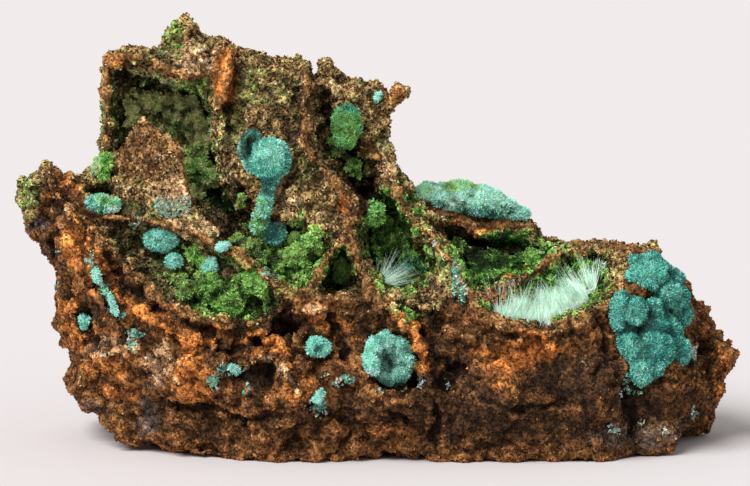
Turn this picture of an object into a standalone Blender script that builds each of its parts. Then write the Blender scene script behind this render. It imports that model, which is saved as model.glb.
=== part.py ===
"""Rosasite with conichalcite on limonite boxwork: a cabinet specimen, one rock and the crystals grown on it.

X runs to the right, Y away from the viewer and Z up, with the origin in the middle of the base.
Places are (across, up, deep) in millimetres.  Across and up are what a viewer in front sees, from a little
above the specimen; deep is how far behind its middle a point really lies.
"""

import math

import bmesh
import bpy
import numpy as np
from mathutils import Vector, noise
from mathutils.bvhtree import BVHTree

MM = 0.001
VIEW_TILT = math.radians(9.0)
VIEW_DISTANCE = 1200.0
FOOT_DEPTH = -20.0
EYE_HEIGHT = 36.0

# Where the middle of the specimen's box lies in the measures below, across and deep.
MIDDLE = (0.25, 1.2)

# The rock is first laid out over a grid this wide, this high and this fine.
GRID_ACROSS = (-61, 61)
GRID_UP = (-14, 76)
GRID_PITCH = 0.6
BACK_RELIEF = 2.6
THINNEST_ROCK = 1.2
WALL_PROFILE = ((0, 0.32), (0.12, 0.5), (1, 0.75))
ROCK_VOXEL = 0.7
UNDERCUT_VOXEL = 1.5
ROCK_RELIEF = 0.3
ROCK_GRAIN = 5.0
ROCK_TRIANGLES = 6300

# Crystals keep this gap from the rock and from each other.  A patch of them that comes loose is kept when it
# has this share of the largest patch's points.
CRYSTAL_GAP = 0.4
CRYSTAL_VOXEL = 0.45
SMALLEST_PATCH = 0.22
SIGHT_REACH = 80

# Each finish: its colour and its roughness.
LIMONITE_FINISH = ((0.2, 0.085, 0.035), 0.85)
ROSASITE_FINISH = ((0.1, 0.45, 0.45), 0.7)
CONICHALCITE_FINISH = ((0.1, 0.34, 0.05), 0.6)
AURICHALCITE_FINISH = ((0.55, 0.8, 0.72), 0.5)

# The edge of the rock as it is seen, clockwise from the lower left.  It runs on below the floor, where it is
# cut off flat.
SILHOUETTE = [
    (-47, -14), (-48, 4), (-49.2, 7.7), (-51.2, 11.8), (-51.7, 15.2), (-50.8, 18.5), (-52.8, 22.7),
    (-53.5, 25.2), (-52.6, 27.7), (-53.3, 30.2), (-54.7, 35.2), (-56.7, 36.8), (-58, 40.2), (-59.7, 45.2),
    (-57.5, 48), (-55.5, 48.2), (-55, 50), (-53.3, 49.8), (-52.5, 48.5), (-50, 47.2), (-47.6, 48.2),
    (-45.2, 51), (-45.2, 56), (-45.5, 61), (-44.8, 66.8), (-43.8, 67.8), (-41.7, 67.8), (-40, 69.2),
    (-38.3, 68), (-35.2, 67.7), (-34.8, 70.2), (-33.8, 72.4), (-32.5, 74.5), (-30.8, 74), (-29.2, 71.8),
    (-29.3, 70.5), (-27.5, 70.7), (-25, 70.2), (-22.5, 68.5), (-16.7, 67.2), (-13.3, 67.2), (-12, 66.2),
    (-10.9, 63), (-9.5, 63.8), (-9.2, 66.3), (-8.3, 67.2), (-7, 65.8), (-6.5, 64.3), (-4.2, 63.8),
    (0, 63.2), (2.2, 61.8), (2.6, 58.5), (1.7, 56), (0.8, 53.5), (1.5, 51.8), (2.5, 49.8), (3.8, 46.7),
    (5, 46.5), (5.8, 44.6), (9.2, 41.8), (17.5, 39), (26.5, 37.2), (30.8, 36.3), (37.5, 36.6), (45, 35.2),
    (45.8, 34.3), (48.8, 32.7), (52.5, 28.5), (54.2, 26.8), (55.8, 22.7), (58.8, 19.3), (59.7, 17.7),
    (59.2, 15.2), (57.8, 10.2), (56.7, 8.2), (56, 4), (55, -14),
]

# Where the rock's unbroken front and back stand, and how far in its rim is rounded: across, up, front, back,
# rounding.
STANDING = [
    (-48, 8, -7, 17, 5), (-50, 20, -8, 15, 5), (-54, 32, -5, 11, 4), (-57, 43, -2, 8, 3), (-53, 48, -3, 8, 3),
    (-42, 6, -10, 20, 5), (-42, 20, -15, 20, 5), (-46, 34, -11, 17, 4), (-30, 4, -15, 23, 5),
    (-30, 15, -21, 24, 6), (-32, 24, -19, 24, 4), (-15, 1, -19, 24, 4), (-15, 12, -24, 25, 6),
    (-14, 26, -19, 25, 4), (3, 1, -18, 24, 4), (3, 13, -24, 25, 6), (1, 27, -18, 25, 4), (20, 1, -19, 23, 4),
    (20, 11, -24, 24, 6), (18, 24, -19, 23, 4), (35, 1, -19, 21, 5), (36, 12, -22, 22, 6),
    (31, 22, -18, 20, 4), (47, 3, -14, 18, 6), (48, 14, -15, 18, 7), (43, 27, -12, 17, 4),
    (56, 8, -4, 12, 6), (58, 17, -2, 9, 6), (52, 26, -4, 12, 5), (45, 34, -3, 15, 3), (36, 36, 2, 16, 1.5),
    (26, 37, 8, 16, 1.5), (14, 39, 6, 18, 1.5), (-44, 55, 2, 17, 2), (-44, 66, 2, 15, 2), (-36, 66, 1, 17, 2),
    (-32, 73, 5, 12, 2), (-25, 68, 0, 17, 2), (-18, 64, -3, 17, 3), (-14, 56, -5, 19, 2),
    (-12, 48, -8, 20, 2), (-8, 41, -11, 21, 2), (-34, 48, -2, 21, 2), (-28, 38, -9, 22, 2),
    (-40, 42, -4, 19, 2), (-7, 62, 2, 14, 2), (0, 60, 3, 13, 2), (1, 52, 1, 15, 2), (5, 43, -4, 18, 2),
    (9, 36, -9, 20, 2), (14, 29, -14, 22, 2),
]

# The hollows: the mouth's outline, the width over which its sides fall, and points of its floor.
HOLLOWS = {
    "left_basin": (
        [(-50, 41.5), (-46, 37), (-40.2, 31.2), (-34.6, 25.6), (-29, 23.2), (-22.5, 22.2), (-18, 22.8),
         (-15.6, 26), (-17, 29.5), (-21, 32.4), (-27, 35.6), (-33, 38.6), (-39.5, 39.4), (-48, 41.2)],
        2.2,
        [(-47, 39.5, -4), (-42, 36, -5), (-36, 37, -4), (-34, 29, -9), (-26, 33, -6), (-24, 26, -9.5),
         (-18, 27, -9)]),
    "shelf_above_basin": (
        [(-49, 46), (-46, 48.6), (-43.5, 49), (-41.6, 44), (-36, 41.5), (-32.5, 40), (-39.5, 40.6),
         (-48, 42.6)],
        1.6,
        [(-46, 45, 2), (-40, 42, -2), (-34, 40.5, -4)]),
    "upper_chamber": (
        [(-43.6, 50), (-44, 61), (-43.2, 65.8), (-38, 65.4), (-33, 63.8), (-28.5, 62.8), (-26.3, 60),
         (-26, 54), (-24.5, 47), (-22.2, 42), (-19, 36), (-16, 31), (-18.5, 30.6), (-22, 33.4), (-30, 38),
         (-38, 44)],
        1.8,
        [(-42, 63, 9), (-41, 54, 8), (-33, 60, 13), (-29, 56, 14), (-29, 47, 13), (-26, 40, 10),
         (-21, 35, 1), (-17, 32, -6)]),
    "blade_gap": (
        [(-24.6, 66), (-22.4, 65.2), (-22.8, 60), (-23.6, 52), (-25.4, 52), (-25, 60)],
        1.5,
        [(-23.6, 60, 6)]),
    "central_hollow": (
        [(-24, 46), (-20.6, 45), (-19, 41), (-13, 41.5), (-9.6, 38.6), (-7.6, 35), (-11.4, 29), (-14.4, 28),
         (-20, 31.8), (-23, 36)],
        1.8,
        [(-22.5, 43, 8), (-21, 38, 3), (-17, 34, -4), (-11, 35, -7), (-14, 40, -4)]),
    "crevice_chamber": (
        [(-10.4, 62), (-9.4, 56.6), (-10.6, 53), (-6.6, 48.4), (-4.6, 45.2), (-1.6, 42), (-2.6, 37.6),
         (-0.6, 42.4), (1.2, 46), (0.4, 49), (-1.8, 51.4), (-5.4, 54), (-6.2, 59.6), (-8, 62.4)],
        1.5,
        [(-8.6, 59, 6), (-7, 52, 9), (-4, 49, 14), (-1.4, 45, 15), (-1.6, 41, 14)]),
    "middle_cell": (
        [(-2.6, 38), (-0.4, 42.6), (1.8, 46.2), (4, 43), (5.8, 39.6), (8.6, 36), (11, 32), (8, 29),
         (4.6, 28.2), (0.6, 28.6), (-1.4, 33)],
        1.2,
        [(0, 41, 7), (2.4, 42, 6), (2, 36, 5), (6, 34, 1), (6, 30, -4), (2, 30, -4)]),
    "triangle_cell": (
        [(-5.8, 37.2), (-4.6, 35.6), (-3, 31.2), (-1.6, 28.2), (-5.8, 28), (-9.6, 27.8), (-8.4, 31.6),
         (-7, 34.4)],
        1.0,
        [(-5.6, 33, -2), (-4.4, 29.4, -5)]),
    "lower_cell": (
        [(1.8, 26.6), (4, 26.4), (8.4, 24.6), (8.8, 23.6), (6, 22.8), (3.4, 24.4)],
        1.2,
        [(5.4, 24.6, -11)]),
    "right_basin": (
        [(6.6, 43.4), (9.4, 40.6), (17.5, 38), (26.5, 36.2), (31.6, 35.4), (29.4, 34), (26.8, 32.4),
         (24.6, 30.4), (20.6, 28.8), (18, 27.4), (16, 28), (13.8, 32.6), (11.2, 36.4), (8.4, 39.4)],
        1.2,
        [(10, 40, 11), (16, 36, 13), (26, 34.5, 12), (24, 31, 7), (16, 31, 6), (19, 29, 0)]),
    "needle_cell": (
        [(19.6, 23.8), (18.8, 26), (22.6, 28), (26.4, 29.8), (29.4, 32.2), (32, 33.8), (35.6, 34.4),
         (39.8, 34.6), (40, 31.6), (38.4, 28.6), (36, 26), (32.6, 24.4), (30.8, 22.6), (28.2, 21.4),
         (25.6, 23), (23.2, 23.2)],
        1.2,
        [(22, 25.4, -9), (28, 27, -6), (34, 29, -4), (37, 33, 5), (33, 32.5, 4)]),
    "ball_pocket": (
        [(-1.6, 18.8), (0.4, 22), (3.6, 22.8), (6.6, 21), (8.4, 17.6), (9, 13.8), (8.4, 11.2), (4.6, 10.4),
         (0.4, 11.8), (-1.8, 15)],
        1.6,
        [(3, 17, -15)]),
    "slot_pocket": (
        [(-18.6, 20.4), (-16.4, 22.8), (-12.4, 25.4), (-8.6, 25), (-9, 23.2), (-12.6, 22), (-15, 19.4),
         (-17.6, 19)],
        1.2,
        [(-14, 22, -13)]),
    "small_ball_pocket": (
        [(-12.8, 20.6), (-8, 21.4), (-5.8, 19.2), (-6.8, 16), (-10.6, 14.8), (-12.6, 17.2)],
        1.4,
        [(-9.5, 18.5, -18)]),
    "left_recess": (
        [(-26.6, 13), (-23.4, 16.6), (-19, 18.2), (-15.8, 17), (-14.2, 12.8), (-17.4, 11), (-22.4, 11.4)],
        2.0,
        [(-20, 14.6, -17.5)]),
    "right_recess": (
        [(9.6, 20), (11.8, 19.4), (14, 15.6), (12.6, 10.8), (10.2, 9.4), (9.8, 14)],
        1.4,
        [(11, 15, -19)]),
    "side_pocket": (
        [(-50.4, 27), (-47.6, 27.6), (-45.4, 24.4), (-46.2, 21.6), (-48.8, 21.4), (-50.6, 23.6)],
        1.6,
        [(-48, 24.4, -3)]),
    "side_groove": (
        [(-47.4, 33.6), (-45.8, 33.2), (-42.2, 27), (-40.4, 22.6), (-41.8, 22.4), (-44.8, 27)],
        0.9,
        [(-44, 28.6, -9)]),
    "end_pocket": (
        [(41.4, 14.6), (43.4, 14.2), (45.8, 12.6), (46, 9.4), (44.4, 6.6), (42.2, 6.4), (41.2, 9)],
        1.2,
        [(43.6, 10, -13.6)]),
}

# Thin walls between the hollows: the points of the crest, the thickness there, how far the wall reaches back
# from it, and how far its back edge is shifted across and up.
WALLS = {
    "left_rim": (
        [(-54.6, 49.4, -4), (-52.3, 43.6, -7), (-46.7, 38.2, -11), (-40.8, 32.3, -15), (-35, 26.4, -18),
         (-29.2, 24.1, -19.5), (-22.5, 22.9, -20.5), (-17.8, 23.6, -20), (-15, 26.4, -18.5),
         (-10.5, 27.1, -18)],
        1.7, 11, (0, -2)),
    "outer_layer": (
        [(-57.4, 46.6, -1), (-54.4, 39, -5), (-50.6, 33.4, -9), (-45.6, 26.6, -13), (-40, 20, -17)],
        2.0, 7, (-1, -2)),
    "basin_divide": (
        [(-48.2, 41.7, -4), (-39.3, 40.2, -8), (-32.8, 39.2, -10), (-26.8, 36.2, -12), (-20.8, 33, -14.5),
         (-15, 28.6, -17), (-10.6, 27.4, -18)],
        1.4, 12, (-1, 0)),
    "top_beam": (
        [(-44.4, 66.4, 0), (-41.4, 67.6, -1), (-37.5, 66.2, -1), (-33.8, 64.8, -2), (-29.2, 63.8, -2),
         (-25.5, 64.8, -3)],
        1.7, 12, (0, 0.8)),
    "tower_side": ([(-44.8, 50.6, 3), (-44.9, 58, 2), (-44.6, 66, 1)], 1.2, 10, (0.4, 0)),
    "hanging_blade": (
        [(-22.8, 68.8, -3), (-24.2, 66.4, -5), (-25, 63, -6), (-25.6, 59.6, -6)],
        1.9, 9, (-0.6, 0)),
    "long_wall": (
        [(-12.2, 66, -3), (-10.9, 63.2, -5), (-11, 60.2, -7), (-11.8, 55.6, -8), (-11.4, 52.2, -9),
         (-7.5, 47.8, -11), (-5.6, 44.8, -12), (-2.6, 42, -13), (-4.2, 39.8, -13.5), (-5.2, 37.6, -14),
         (-8.4, 33.2, -16), (-11.2, 28.8, -18), (-12.6, 26.8, -19)],
        1.3, 14, (-0.6, 0)),
    "fork_wall": (
        [(-4.8, 39, -13.5), (-3.7, 35.2, -15), (-2.2, 31, -16.5), (-0.5, 27.3, -18)],
        1.4, 11, (0.4, 0)),
    "sill": ([(-12, 27, -18.5), (-5.8, 27.4, -19), (-0.5, 27.3, -19), (1.6, 26.2, -18.5)], 1.5, 9, (0, -1)),
    "long_ridge": (
        [(-1, 52, 1), (1.2, 49.6, -2), (3.7, 44.7, -5), (6.2, 40.3, -8), (10.2, 36.2, -11), (12.7, 33.3, -13),
         (14.8, 28.7, -16), (17.3, 26.2, -18), (19.2, 23.6, -19)],
        2.1, 12, (0.2, 0)),
    "cell_step": ([(1.6, 28.6, -12), (4.4, 27.2, -14), (8, 25.6, -16.5), (11, 25.6, -17)], 1.4, 8, (0, 0)),
    "basin_back": (
        [(6, 43.8, 9), (9.2, 41.5, 11), (17.5, 38.9, 12.5), (26.5, 37.2, 12.5), (31, 36.3, 11),
         (37.5, 36.6, 7), (41, 36.3, 3), (44.6, 35.3, -1)],
        1.8, 4, (0, -0.8)),
    "curved_divide": (
        [(16.4, 26.4, -14), (18.6, 27.2, -14), (22.4, 29.2, -13), (25.9, 31.2, -10), (28.5, 33.4, -6),
         (30.8, 34.9, -2), (34.8, 35.8, 3), (38, 36, 6)],
        1.7, 5, (0.4, -6)),
    "end_rim": (
        [(44.6, 35, -3), (42.6, 31.8, -7), (41, 28.4, -11), (38.9, 25.8, -14), (35.6, 24.2, -16.5),
         (33, 23.6, -17.5), (30.8, 22.2, -18.5), (28.3, 20.9, -19.5), (25.8, 22.4, -19.5),
         (22.6, 22.6, -19.5), (19.2, 23.2, -19)],
        1.8, 6, (0.2, -1.4)),
    "pocket_arch": (
        [(-1.6, 26.8, -20), (2, 25, -20.5), (5, 22.6, -21.5), (7.8, 19.4, -22), (9.2, 15.4, -22.5),
         (9.5, 10.8, -23)],
        1.4, 9, (0.3, 0)),
    "slot_lip": (
        [(-20, 19.4, -20), (-16.6, 18.8, -20.5), (-14, 15.6, -21.5), (-12.8, 11.4, -22.5)],
        1.3, 8, (0, 0)),
    "slot_roof": (
        [(-13.8, 22, -18.5), (-12.2, 21.6, -19), (-11.6, 24.4, -19), (-8.4, 24.8, -20)],
        0.9, 7, (0, 0)),
}

# Flat broken blades of rock: the outline with the depth of each point, how far the other face lies behind it
# and how far below it.
BLADES = {
    "great_blade": (
        [(-38.9, 57.8, 0), (-34, 53.9, -1), (-31.4, 51.2, -2), (-31.2, 45.4, -4), (-28.2, 41.4, -6),
         (-23.4, 36.2, -10), (-20.9, 33, -13), (-26.8, 36.2, -11), (-37.4, 40.8, -7), (-43.6, 42.6, -3),
         (-43.8, 46.8, -2), (-43, 50.2, -1), (-41.8, 53.6, 0)],
        2.2, 0),
    "shoulder_plate": (
        [(-34.6, 67, 1), (-31, 68.6, 0), (-27, 70.2, 1), (-24.6, 70, 0), (-22.4, 68.4, -1), (-24, 65.4, -3),
         (-28.4, 64, -1)],
        3.0, 0),
    "ledge": (
        [(4, 46.2, 7), (6.6, 44.2, 6.5), (9.6, 42.1, 7), (15.8, 40.9, 8), (21.5, 40.4, 9), (26.4, 40.2, 10),
         (27.4, 40.2, 12.5), (26.2, 40.5, 15.5), (22, 41.2, 18.5), (16, 42.2, 20), (10, 43.6, 19),
         (5, 45.6, 16)],
        0, 2.3),
}

# Rounded masses of rock: across, up, deep and the half sizes across, deep and up.
LUMPS = [
    (-32.4, 72.4, 6, 1.9, 2.6, 2.0), (-31.2, 70, 6, 2.6, 3, 2.2), (-33.4, 69, 5, 1.9, 3, 2.6),
    (-30.2, 68.4, 3, 3.2, 3.4, 1.9), (-40, 67.4, 3, 1.6, 3, 1.6),
    (-18, 58, 0, 6.2, 5, 9), (-15.5, 49, -3, 5.2, 5.4, 8), (-11.2, 43.4, -6, 5, 5, 5.6),
    (-8.6, 39.6, -8, 3, 4, 3.4), (-20.4, 47.4, 1, 3, 4.4, 3.4), (-22, 44.8, 1.5, 1.6, 3, 3.2),
    (-17.6, 45.8, -4.4, 1.3, 1.6, 3),
    (4, 61.3, 1, 2.3, 2.6, 1.9), (2.4, 59.4, 2, 1.7, 2.6, 2.0), (-8.2, 65.4, 3, 1.3, 1.8, 2.2),
    (-7.2, 53.6, 6, 2.4, 3, 2.6), (-4.8, 48.6, 3.5, 1.8, 3, 2.4), (-1.4, 48.6, 5, 2.1, 3.4, 3.6),
    (-0.6, 56, 4, 3.2, 3, 3.6), (1.6, 50.6, 3, 1.8, 3, 2.8), (4.8, 45.6, 4, 1.6, 3.4, 2.6),
    (45, 35, 2, 3.2, 4, 1.6), (58.4, 17.6, 0, 2.2, 5, 3.2), (-45.6, 47.6, 2.5, 3, 3.4, 2.4),
    (-50, 44.8, 2, 3, 3.6, 2.6), (-57.6, 44.6, 0, 2.4, 4, 3.4), (25.8, 39.2, 13, 1.8, 2, 1.4),
    (8.2, 43.6, 11, 3.4, 3.4, 1.6),
]

# Hollows under the rock, which leave it standing on separate feet, and vugs in its back: the centre's X, Y
# and Z and the half sizes.
UNDERCUTS = [
    (-50, 0, -4, 12, 20, 9), (-38, -17, -4, 9, 9, 7.6), (3, -23, -3.4, 15, 9, 5), (2, 3, -3, 15, 10, 4.6),
    (56, -8, -4, 9, 14, 8.4), (-12, 24, -4, 12, 9, 9), (44, 23, -4, 11, 9, 9), (-22, 1, -2.6, 7, 8, 3.8),
    (25, 14, -2.6, 9, 7, 3.8), (-22, 27, 42, 7, 7, 8), (14, 27, 22, 10, 6, 6), (-3, 24, 53, 4, 5.4, 5),
    (-38, 23, 27, 6, 6, 8),
]

# Rosasite, each ball or cluster: how far its lumps are sunk in the rock as a share of their size, their faces
# once thinned out, and the lumps: across, up and the half sizes across, up and deep.
ROSASITE = {
    "ball_and_stalk": (-0.5, 300, [
        (-17.4, 50.4, 3.9, 3.8, 3.6), (-19.2, 51.2, 2.4, 2.4, 2.4), (-17.4, 46.8, 1.9, 1.9, 1.8),
        (-21.2, 53.9, 0.8, 0.9, 0.9), (-21.7, 52.8, 0.9, 1.1, 1.0), (-21.7, 51.3, 0.9, 1.2, 1.1),
        (-21.2, 49.8, 0.9, 1.2, 1.2), (-20.2, 48.6, 1.2, 1.1, 1.4), (-17.5, 45.2, 1.6, 1.6, 1.6),
        (-17.9, 43.9, 1.4, 1.4, 1.5), (-18.2, 42.2, 1.6, 1.5, 1.6), (-18.9, 40.3, 1.9, 1.9, 3.4),
        (-17.3, 39.3, 2.0, 1.9, 3.2), (-15.7, 37.6, 1.4, 1.4, 2.6)]),
    "ball_left_large": (-0.2, 120, [(-34.7, 37.4, 2.3, 2.2, 2.0), (-36.6, 37.1, 1.7, 1.5, 1.6)]),
    "ball_left_round": (-0.35, 80, [(-33.5, 33.0, 1.85, 1.85, 1.8)]),
    "ball_left_pale": (-0.3, 64, [(-27.5, 32.6, 1.25, 1.6, 1.4)]),
    "ball_left_upper": (-0.3, 64, [(-25.4, 35.7, 1.6, 1.1, 1.3)]),
    "shoulder_crust": (-0.3, 110, [
        (-47.0, 42.9, 1.4, 1.3, 2.4), (-45.3, 43.2, 1.7, 1.5, 2.6), (-43.5, 42.5, 1.6, 1.2, 2.4)]),
    "ball_front": (-0.3, 240, [
        (2.0, 17.6, 3.4, 3.0, 2.6), (-0.9, 17.2, 1.6, 1.8, 2.4), (-0.2, 19.2, 1.7, 1.7, 2.5),
        (1.6, 20.2, 1.9, 1.5, 2.5), (3.7, 19.8, 1.9, 1.7, 2.5), (5.0, 18.0, 1.6, 1.9, 2.5),
        (5.0, 15.6, 1.5, 1.8, 2.5), (3.2, 14.6, 1.8, 1.2, 2.5), (0.6, 14.9, 1.9, 1.2, 2.4),
        (-1.0, 15.4, 1.2, 1.2, 2.2), (2.8, 13.1, 0.7, 0.9, 1.0)]),
    "ball_front_small": (-0.4, 90, [(-9.6, 18.8, 2.2, 1.7, 1.7), (-10.8, 19.4, 1.2, 1.0, 1.4)]),
    "drape": (-0.35, 560, [
        (43.6, 33.2, 1.6, 1.5, 2.0), (45.2, 32.6, 2.2, 1.8, 2.4), (47.2, 31.4, 2.4, 2.2, 2.6),
        (49.2, 29.8, 2.2, 2.1, 2.6), (43.2, 30.4, 1.8, 1.8, 2.2), (45.4, 29.8, 2.4, 2.2, 2.6),
        (47.6, 28.4, 2.2, 1.9, 2.6), (50.4, 28.0, 1.6, 1.9, 2.2), (49.4, 26.4, 1.7, 1.7, 2.2),
        (50.9, 24.8, 1.4, 1.8, 2.0), (41.2, 27.4, 1.3, 1.5, 1.6), (40.6, 25.2, 1.4, 1.7, 1.6),
        (40.2, 23.0, 1.4, 1.7, 1.6), (44.0, 26.2, 1.5, 1.5, 1.9), (43.0, 24.2, 1.7, 1.9, 2.0),
        (41.8, 22.2, 1.4, 1.5, 1.6), (46.4, 24.6, 1.9, 2.2, 2.1), (46.2, 21.6, 2.8, 2.8, 2.4),
        (48.6, 21.2, 2.7, 2.8, 2.4), (50.2, 18.6, 2.0, 2.1, 2.2), (51.0, 17.0, 1.1, 1.1, 1.6),
        (46.6, 18.2, 2.9, 2.7, 2.4), (45.8, 15.4, 2.1, 2.1, 2.0), (44.2, 14.0, 1.2, 1.1, 1.5),
        (41.4, 20.4, 1.4, 1.1, 1.6), (43.0, 19.6, 1.5, 1.3, 1.8), (44.2, 17.8, 1.4, 1.7, 1.9)]),
    "speck_upper": (-0.4, 50, [(0.7, 60.4, 1.1, 1.5, 1.1)]),
    "side_pocket_ball": (-0.3, 70, [(-48.0, 23.3, 1.8, 1.6, 1.7)]),
    "vein_left": (-0.3, 90, [
        (-46.6, 31.6, 0.9, 1.1, 1.2), (-46.3, 30.2, 0.9, 1.2, 1.2), (-45.7, 28.8, 0.9, 1.2, 1.2),
        (-44.9, 27.4, 1.0, 1.2, 1.2), (-44.1, 26.1, 0.9, 1.2, 1.4), (-43.4, 24.9, 0.9, 1.1, 1.6)]),
    "flake_recess": (-0.3, 50, [(-24.6, 15.8, 1.5, 0.9, 1.1), (-23.4, 15.3, 1.1, 1.2, 1.1)]),
    "flake_low": (-0.3, 50, [(-9.2, 11.2, 1.1, 1.4, 1.1), (-10.2, 10.2, 1.3, 0.9, 1.1)]),
}

# The cluster that lies on the ledge: its faces, and its lumps' across, up, deep and half sizes across, deep
# and up.
RIDGE_FACES = 240
RIDGE_CLUSTER = [
    (8.0, 44.6, 10, 1.9, 3.0, 1.5), (11.0, 44.1, 10.6, 2.8, 3.8, 2.3), (14.0, 43.5, 11, 3.2, 4.2, 2.9),
    (17.0, 42.9, 11.4, 3.4, 4.4, 2.8), (20.0, 42.1, 12, 3.2, 4.2, 2.4), (22.6, 41.4, 12.4, 2.4, 3.4, 1.7),
    (24.4, 40.9, 12.6, 1.3, 2.4, 1.1),
]

# Green conichalcite: the crust in each hollow, in the same way as the rosasite.
CONICHALCITE = {
    "ball_upper": (-0.55, 130, [(-4.7, 56.2, 3.0, 3.6, 2.8), (-4.9, 53.8, 2.4, 2.4, 2.4)]),
    "tuft_left": (-0.3, 70, [(-45.3, 48.8, 1.5, 2.1, 1.6), (-44.4, 50.4, 1.0, 1.3, 1.2)]),
    "crust_left_basin": (-0.35, 320, [
        (-31.9, 36.2, 1.5, 1.4, 1.2), (-30.1, 34.9, 1.4, 1.4, 1.2), (-28.9, 33.6, 1.3, 1.3, 1.1),
        (-34.8, 30.7, 1.4, 1.2, 1.1), (-32.5, 29.8, 1.9, 1.6, 1.4), (-30.4, 28.4, 2.0, 1.8, 1.5),
        (-28.3, 30.6, 1.8, 1.7, 1.4), (-26.6, 28.4, 2.0, 1.8, 1.5), (-27.6, 26.4, 1.9, 1.6, 1.3),
        (-25.4, 25.0, 1.9, 1.4, 1.3), (-22.9, 24.9, 1.8, 1.4, 1.2), (-24.4, 27.0, 1.6, 1.4, 1.3),
        (-21.9, 29.2, 1.9, 1.7, 1.4), (-19.5, 30.2, 2.1, 1.6, 1.5), (-17.6, 28.6, 1.8, 1.8, 1.4),
        (-17.2, 26.5, 1.5, 1.6, 1.2), (-19.0, 26.6, 1.5, 1.5, 1.2), (-32.9, 27.6, 1.6, 1.3, 1.2)]),
    "crust_upper_chamber": (-0.2, 340, [
        (-42.2, 60.0, 1.9, 2.2, 1.8), (-41.0, 56.4, 2.2, 2.2, 1.8), (-38.0, 59.4, 2.2, 1.9, 1.8),
        (-35.0, 61.0, 2.2, 1.7, 2.0), (-31.6, 60.8, 2.3, 2.1, 2.4), (-29.4, 58.6, 2.2, 2.4, 2.2),
        (-33.2, 56.8, 2.4, 2.2, 2.0), (-30.2, 55.0, 2.4, 2.4, 2.0), (-27.6, 54.0, 2.0, 2.4, 2.0),
        (-29.8, 50.8, 2.1, 2.3, 2.2), (-27.4, 49.8, 2.2, 2.2, 2.2), (-28.0, 47.0, 2.1, 2.2, 2.0),
        (-25.6, 51.6, 1.8, 2.0, 1.8), (-26.0, 46.6, 1.6, 2.0, 1.6), (-29.4, 44.4, 1.8, 2.0, 1.4)]),
    "crust_central": (-0.3, 280, [
        (-23.0, 36.4, 2.0, 1.8, 2.2), (-20.8, 34.6, 2.1, 1.9, 2.4), (-18.4, 33.4, 2.1, 1.8, 2.2),
        (-16.2, 31.8, 1.9, 1.8, 2.0), (-14.8, 34.0, 2.2, 1.9, 2.0), (-12.4, 34.4, 2.3, 2.0, 2.2),
        (-10.2, 36.8, 2.1, 1.9, 2.2), (-12.6, 37.4, 2.1, 1.9, 2.0), (-12.0, 31.4, 1.9, 1.9, 2.0),
        (-13.4, 29.6, 1.7, 1.5, 2.2), (-14.6, 36.6, 1.9, 1.6, 1.8)]),
    "column_lobe": (-0.4, 60, [(-22.2, 44.8, 1.3, 1.7, 2.0), (-22.4, 43.0, 1.3, 1.5, 2.6)]),
    "crust_crevice": (-0.25, 120, [
        (-6.8, 53.4, 1.6, 1.6, 1.6), (-7.4, 51.8, 1.4, 1.4, 1.5), (-2.6, 49.8, 1.6, 1.5, 1.4),
        (-4.4, 48.4, 1.6, 1.5, 1.5), (-2.8, 47.6, 1.4, 1.5, 1.3), (-5.6, 50.6, 1.5, 1.5, 1.5)]),
    "crust_middle": (-0.35, 190, [
        (-0.7, 41.4, 1.9, 2.6, 1.9), (0.3, 38.8, 2.4, 2.4, 2.2), (3.0, 38.9, 2.3, 2.4, 2.1),
        (4.4, 36.2, 2.2, 2.1, 2.0), (1.6, 36.0, 2.4, 2.1, 2.2), (-0.2, 33.8, 1.8, 2.0, 3.4),
        (6.4, 33.6, 2.2, 2.0, 1.8), (8.4, 31.6, 1.8, 1.5, 1.8)]),
    "crust_triangle": (-0.3, 70, [(-5.0, 33.4, 1.5, 1.9, 2.0), (-6.0, 30.6, 1.6, 1.6, 2.2)]),
    "crust_lower_cell": (-0.3, 60, [
        (3.2, 25.8, 1.2, 1.0, 1.4), (5.0, 25.1, 1.4, 1.1, 1.6), (7.0, 24.4, 1.3, 1.1, 1.6)]),
    "crust_right_basin": (-0.3, 300, [
        (11.4, 37.2, 2.0, 2.0, 2.6), (13.2, 35.6, 2.2, 2.0, 2.6), (14.9, 33.8, 2.2, 2.0, 2.8),
        (16.2, 31.6, 2.1, 1.8, 2.8), (17.8, 30.6, 2.2, 1.7, 2.6), (19.8, 30.8, 2.2, 1.7, 2.6),
        (21.8, 32.2, 2.3, 1.9, 2.8), (24.2, 33.4, 2.3, 1.8, 2.6), (26.4, 34.2, 2.2, 2.0, 2.4),
        (19.4, 33.6, 2.3, 2.0, 2.6), (16.6, 34.2, 2.2, 2.0, 2.4)]),
    "crust_needle_cell": (-0.3, 150, [
        (28.6, 29.8, 1.7, 1.4, 1.3), (31.0, 31.0, 1.9, 1.6, 1.5), (33.4, 32.2, 1.9, 1.7, 1.6),
        (35.6, 33.0, 1.8, 1.5, 1.6), (37.9, 33.0, 1.5, 1.6, 1.5), (38.6, 30.8, 1.2, 1.6, 1.3),
        (36.8, 31.0, 1.5, 1.5, 1.4)]),
    "crust_needle_side": (-0.3, 50, [(17.6, 26.4, 1.2, 1.0, 1.0), (18.8, 25.2, 1.0, 1.0, 1.0)]),
}

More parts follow.
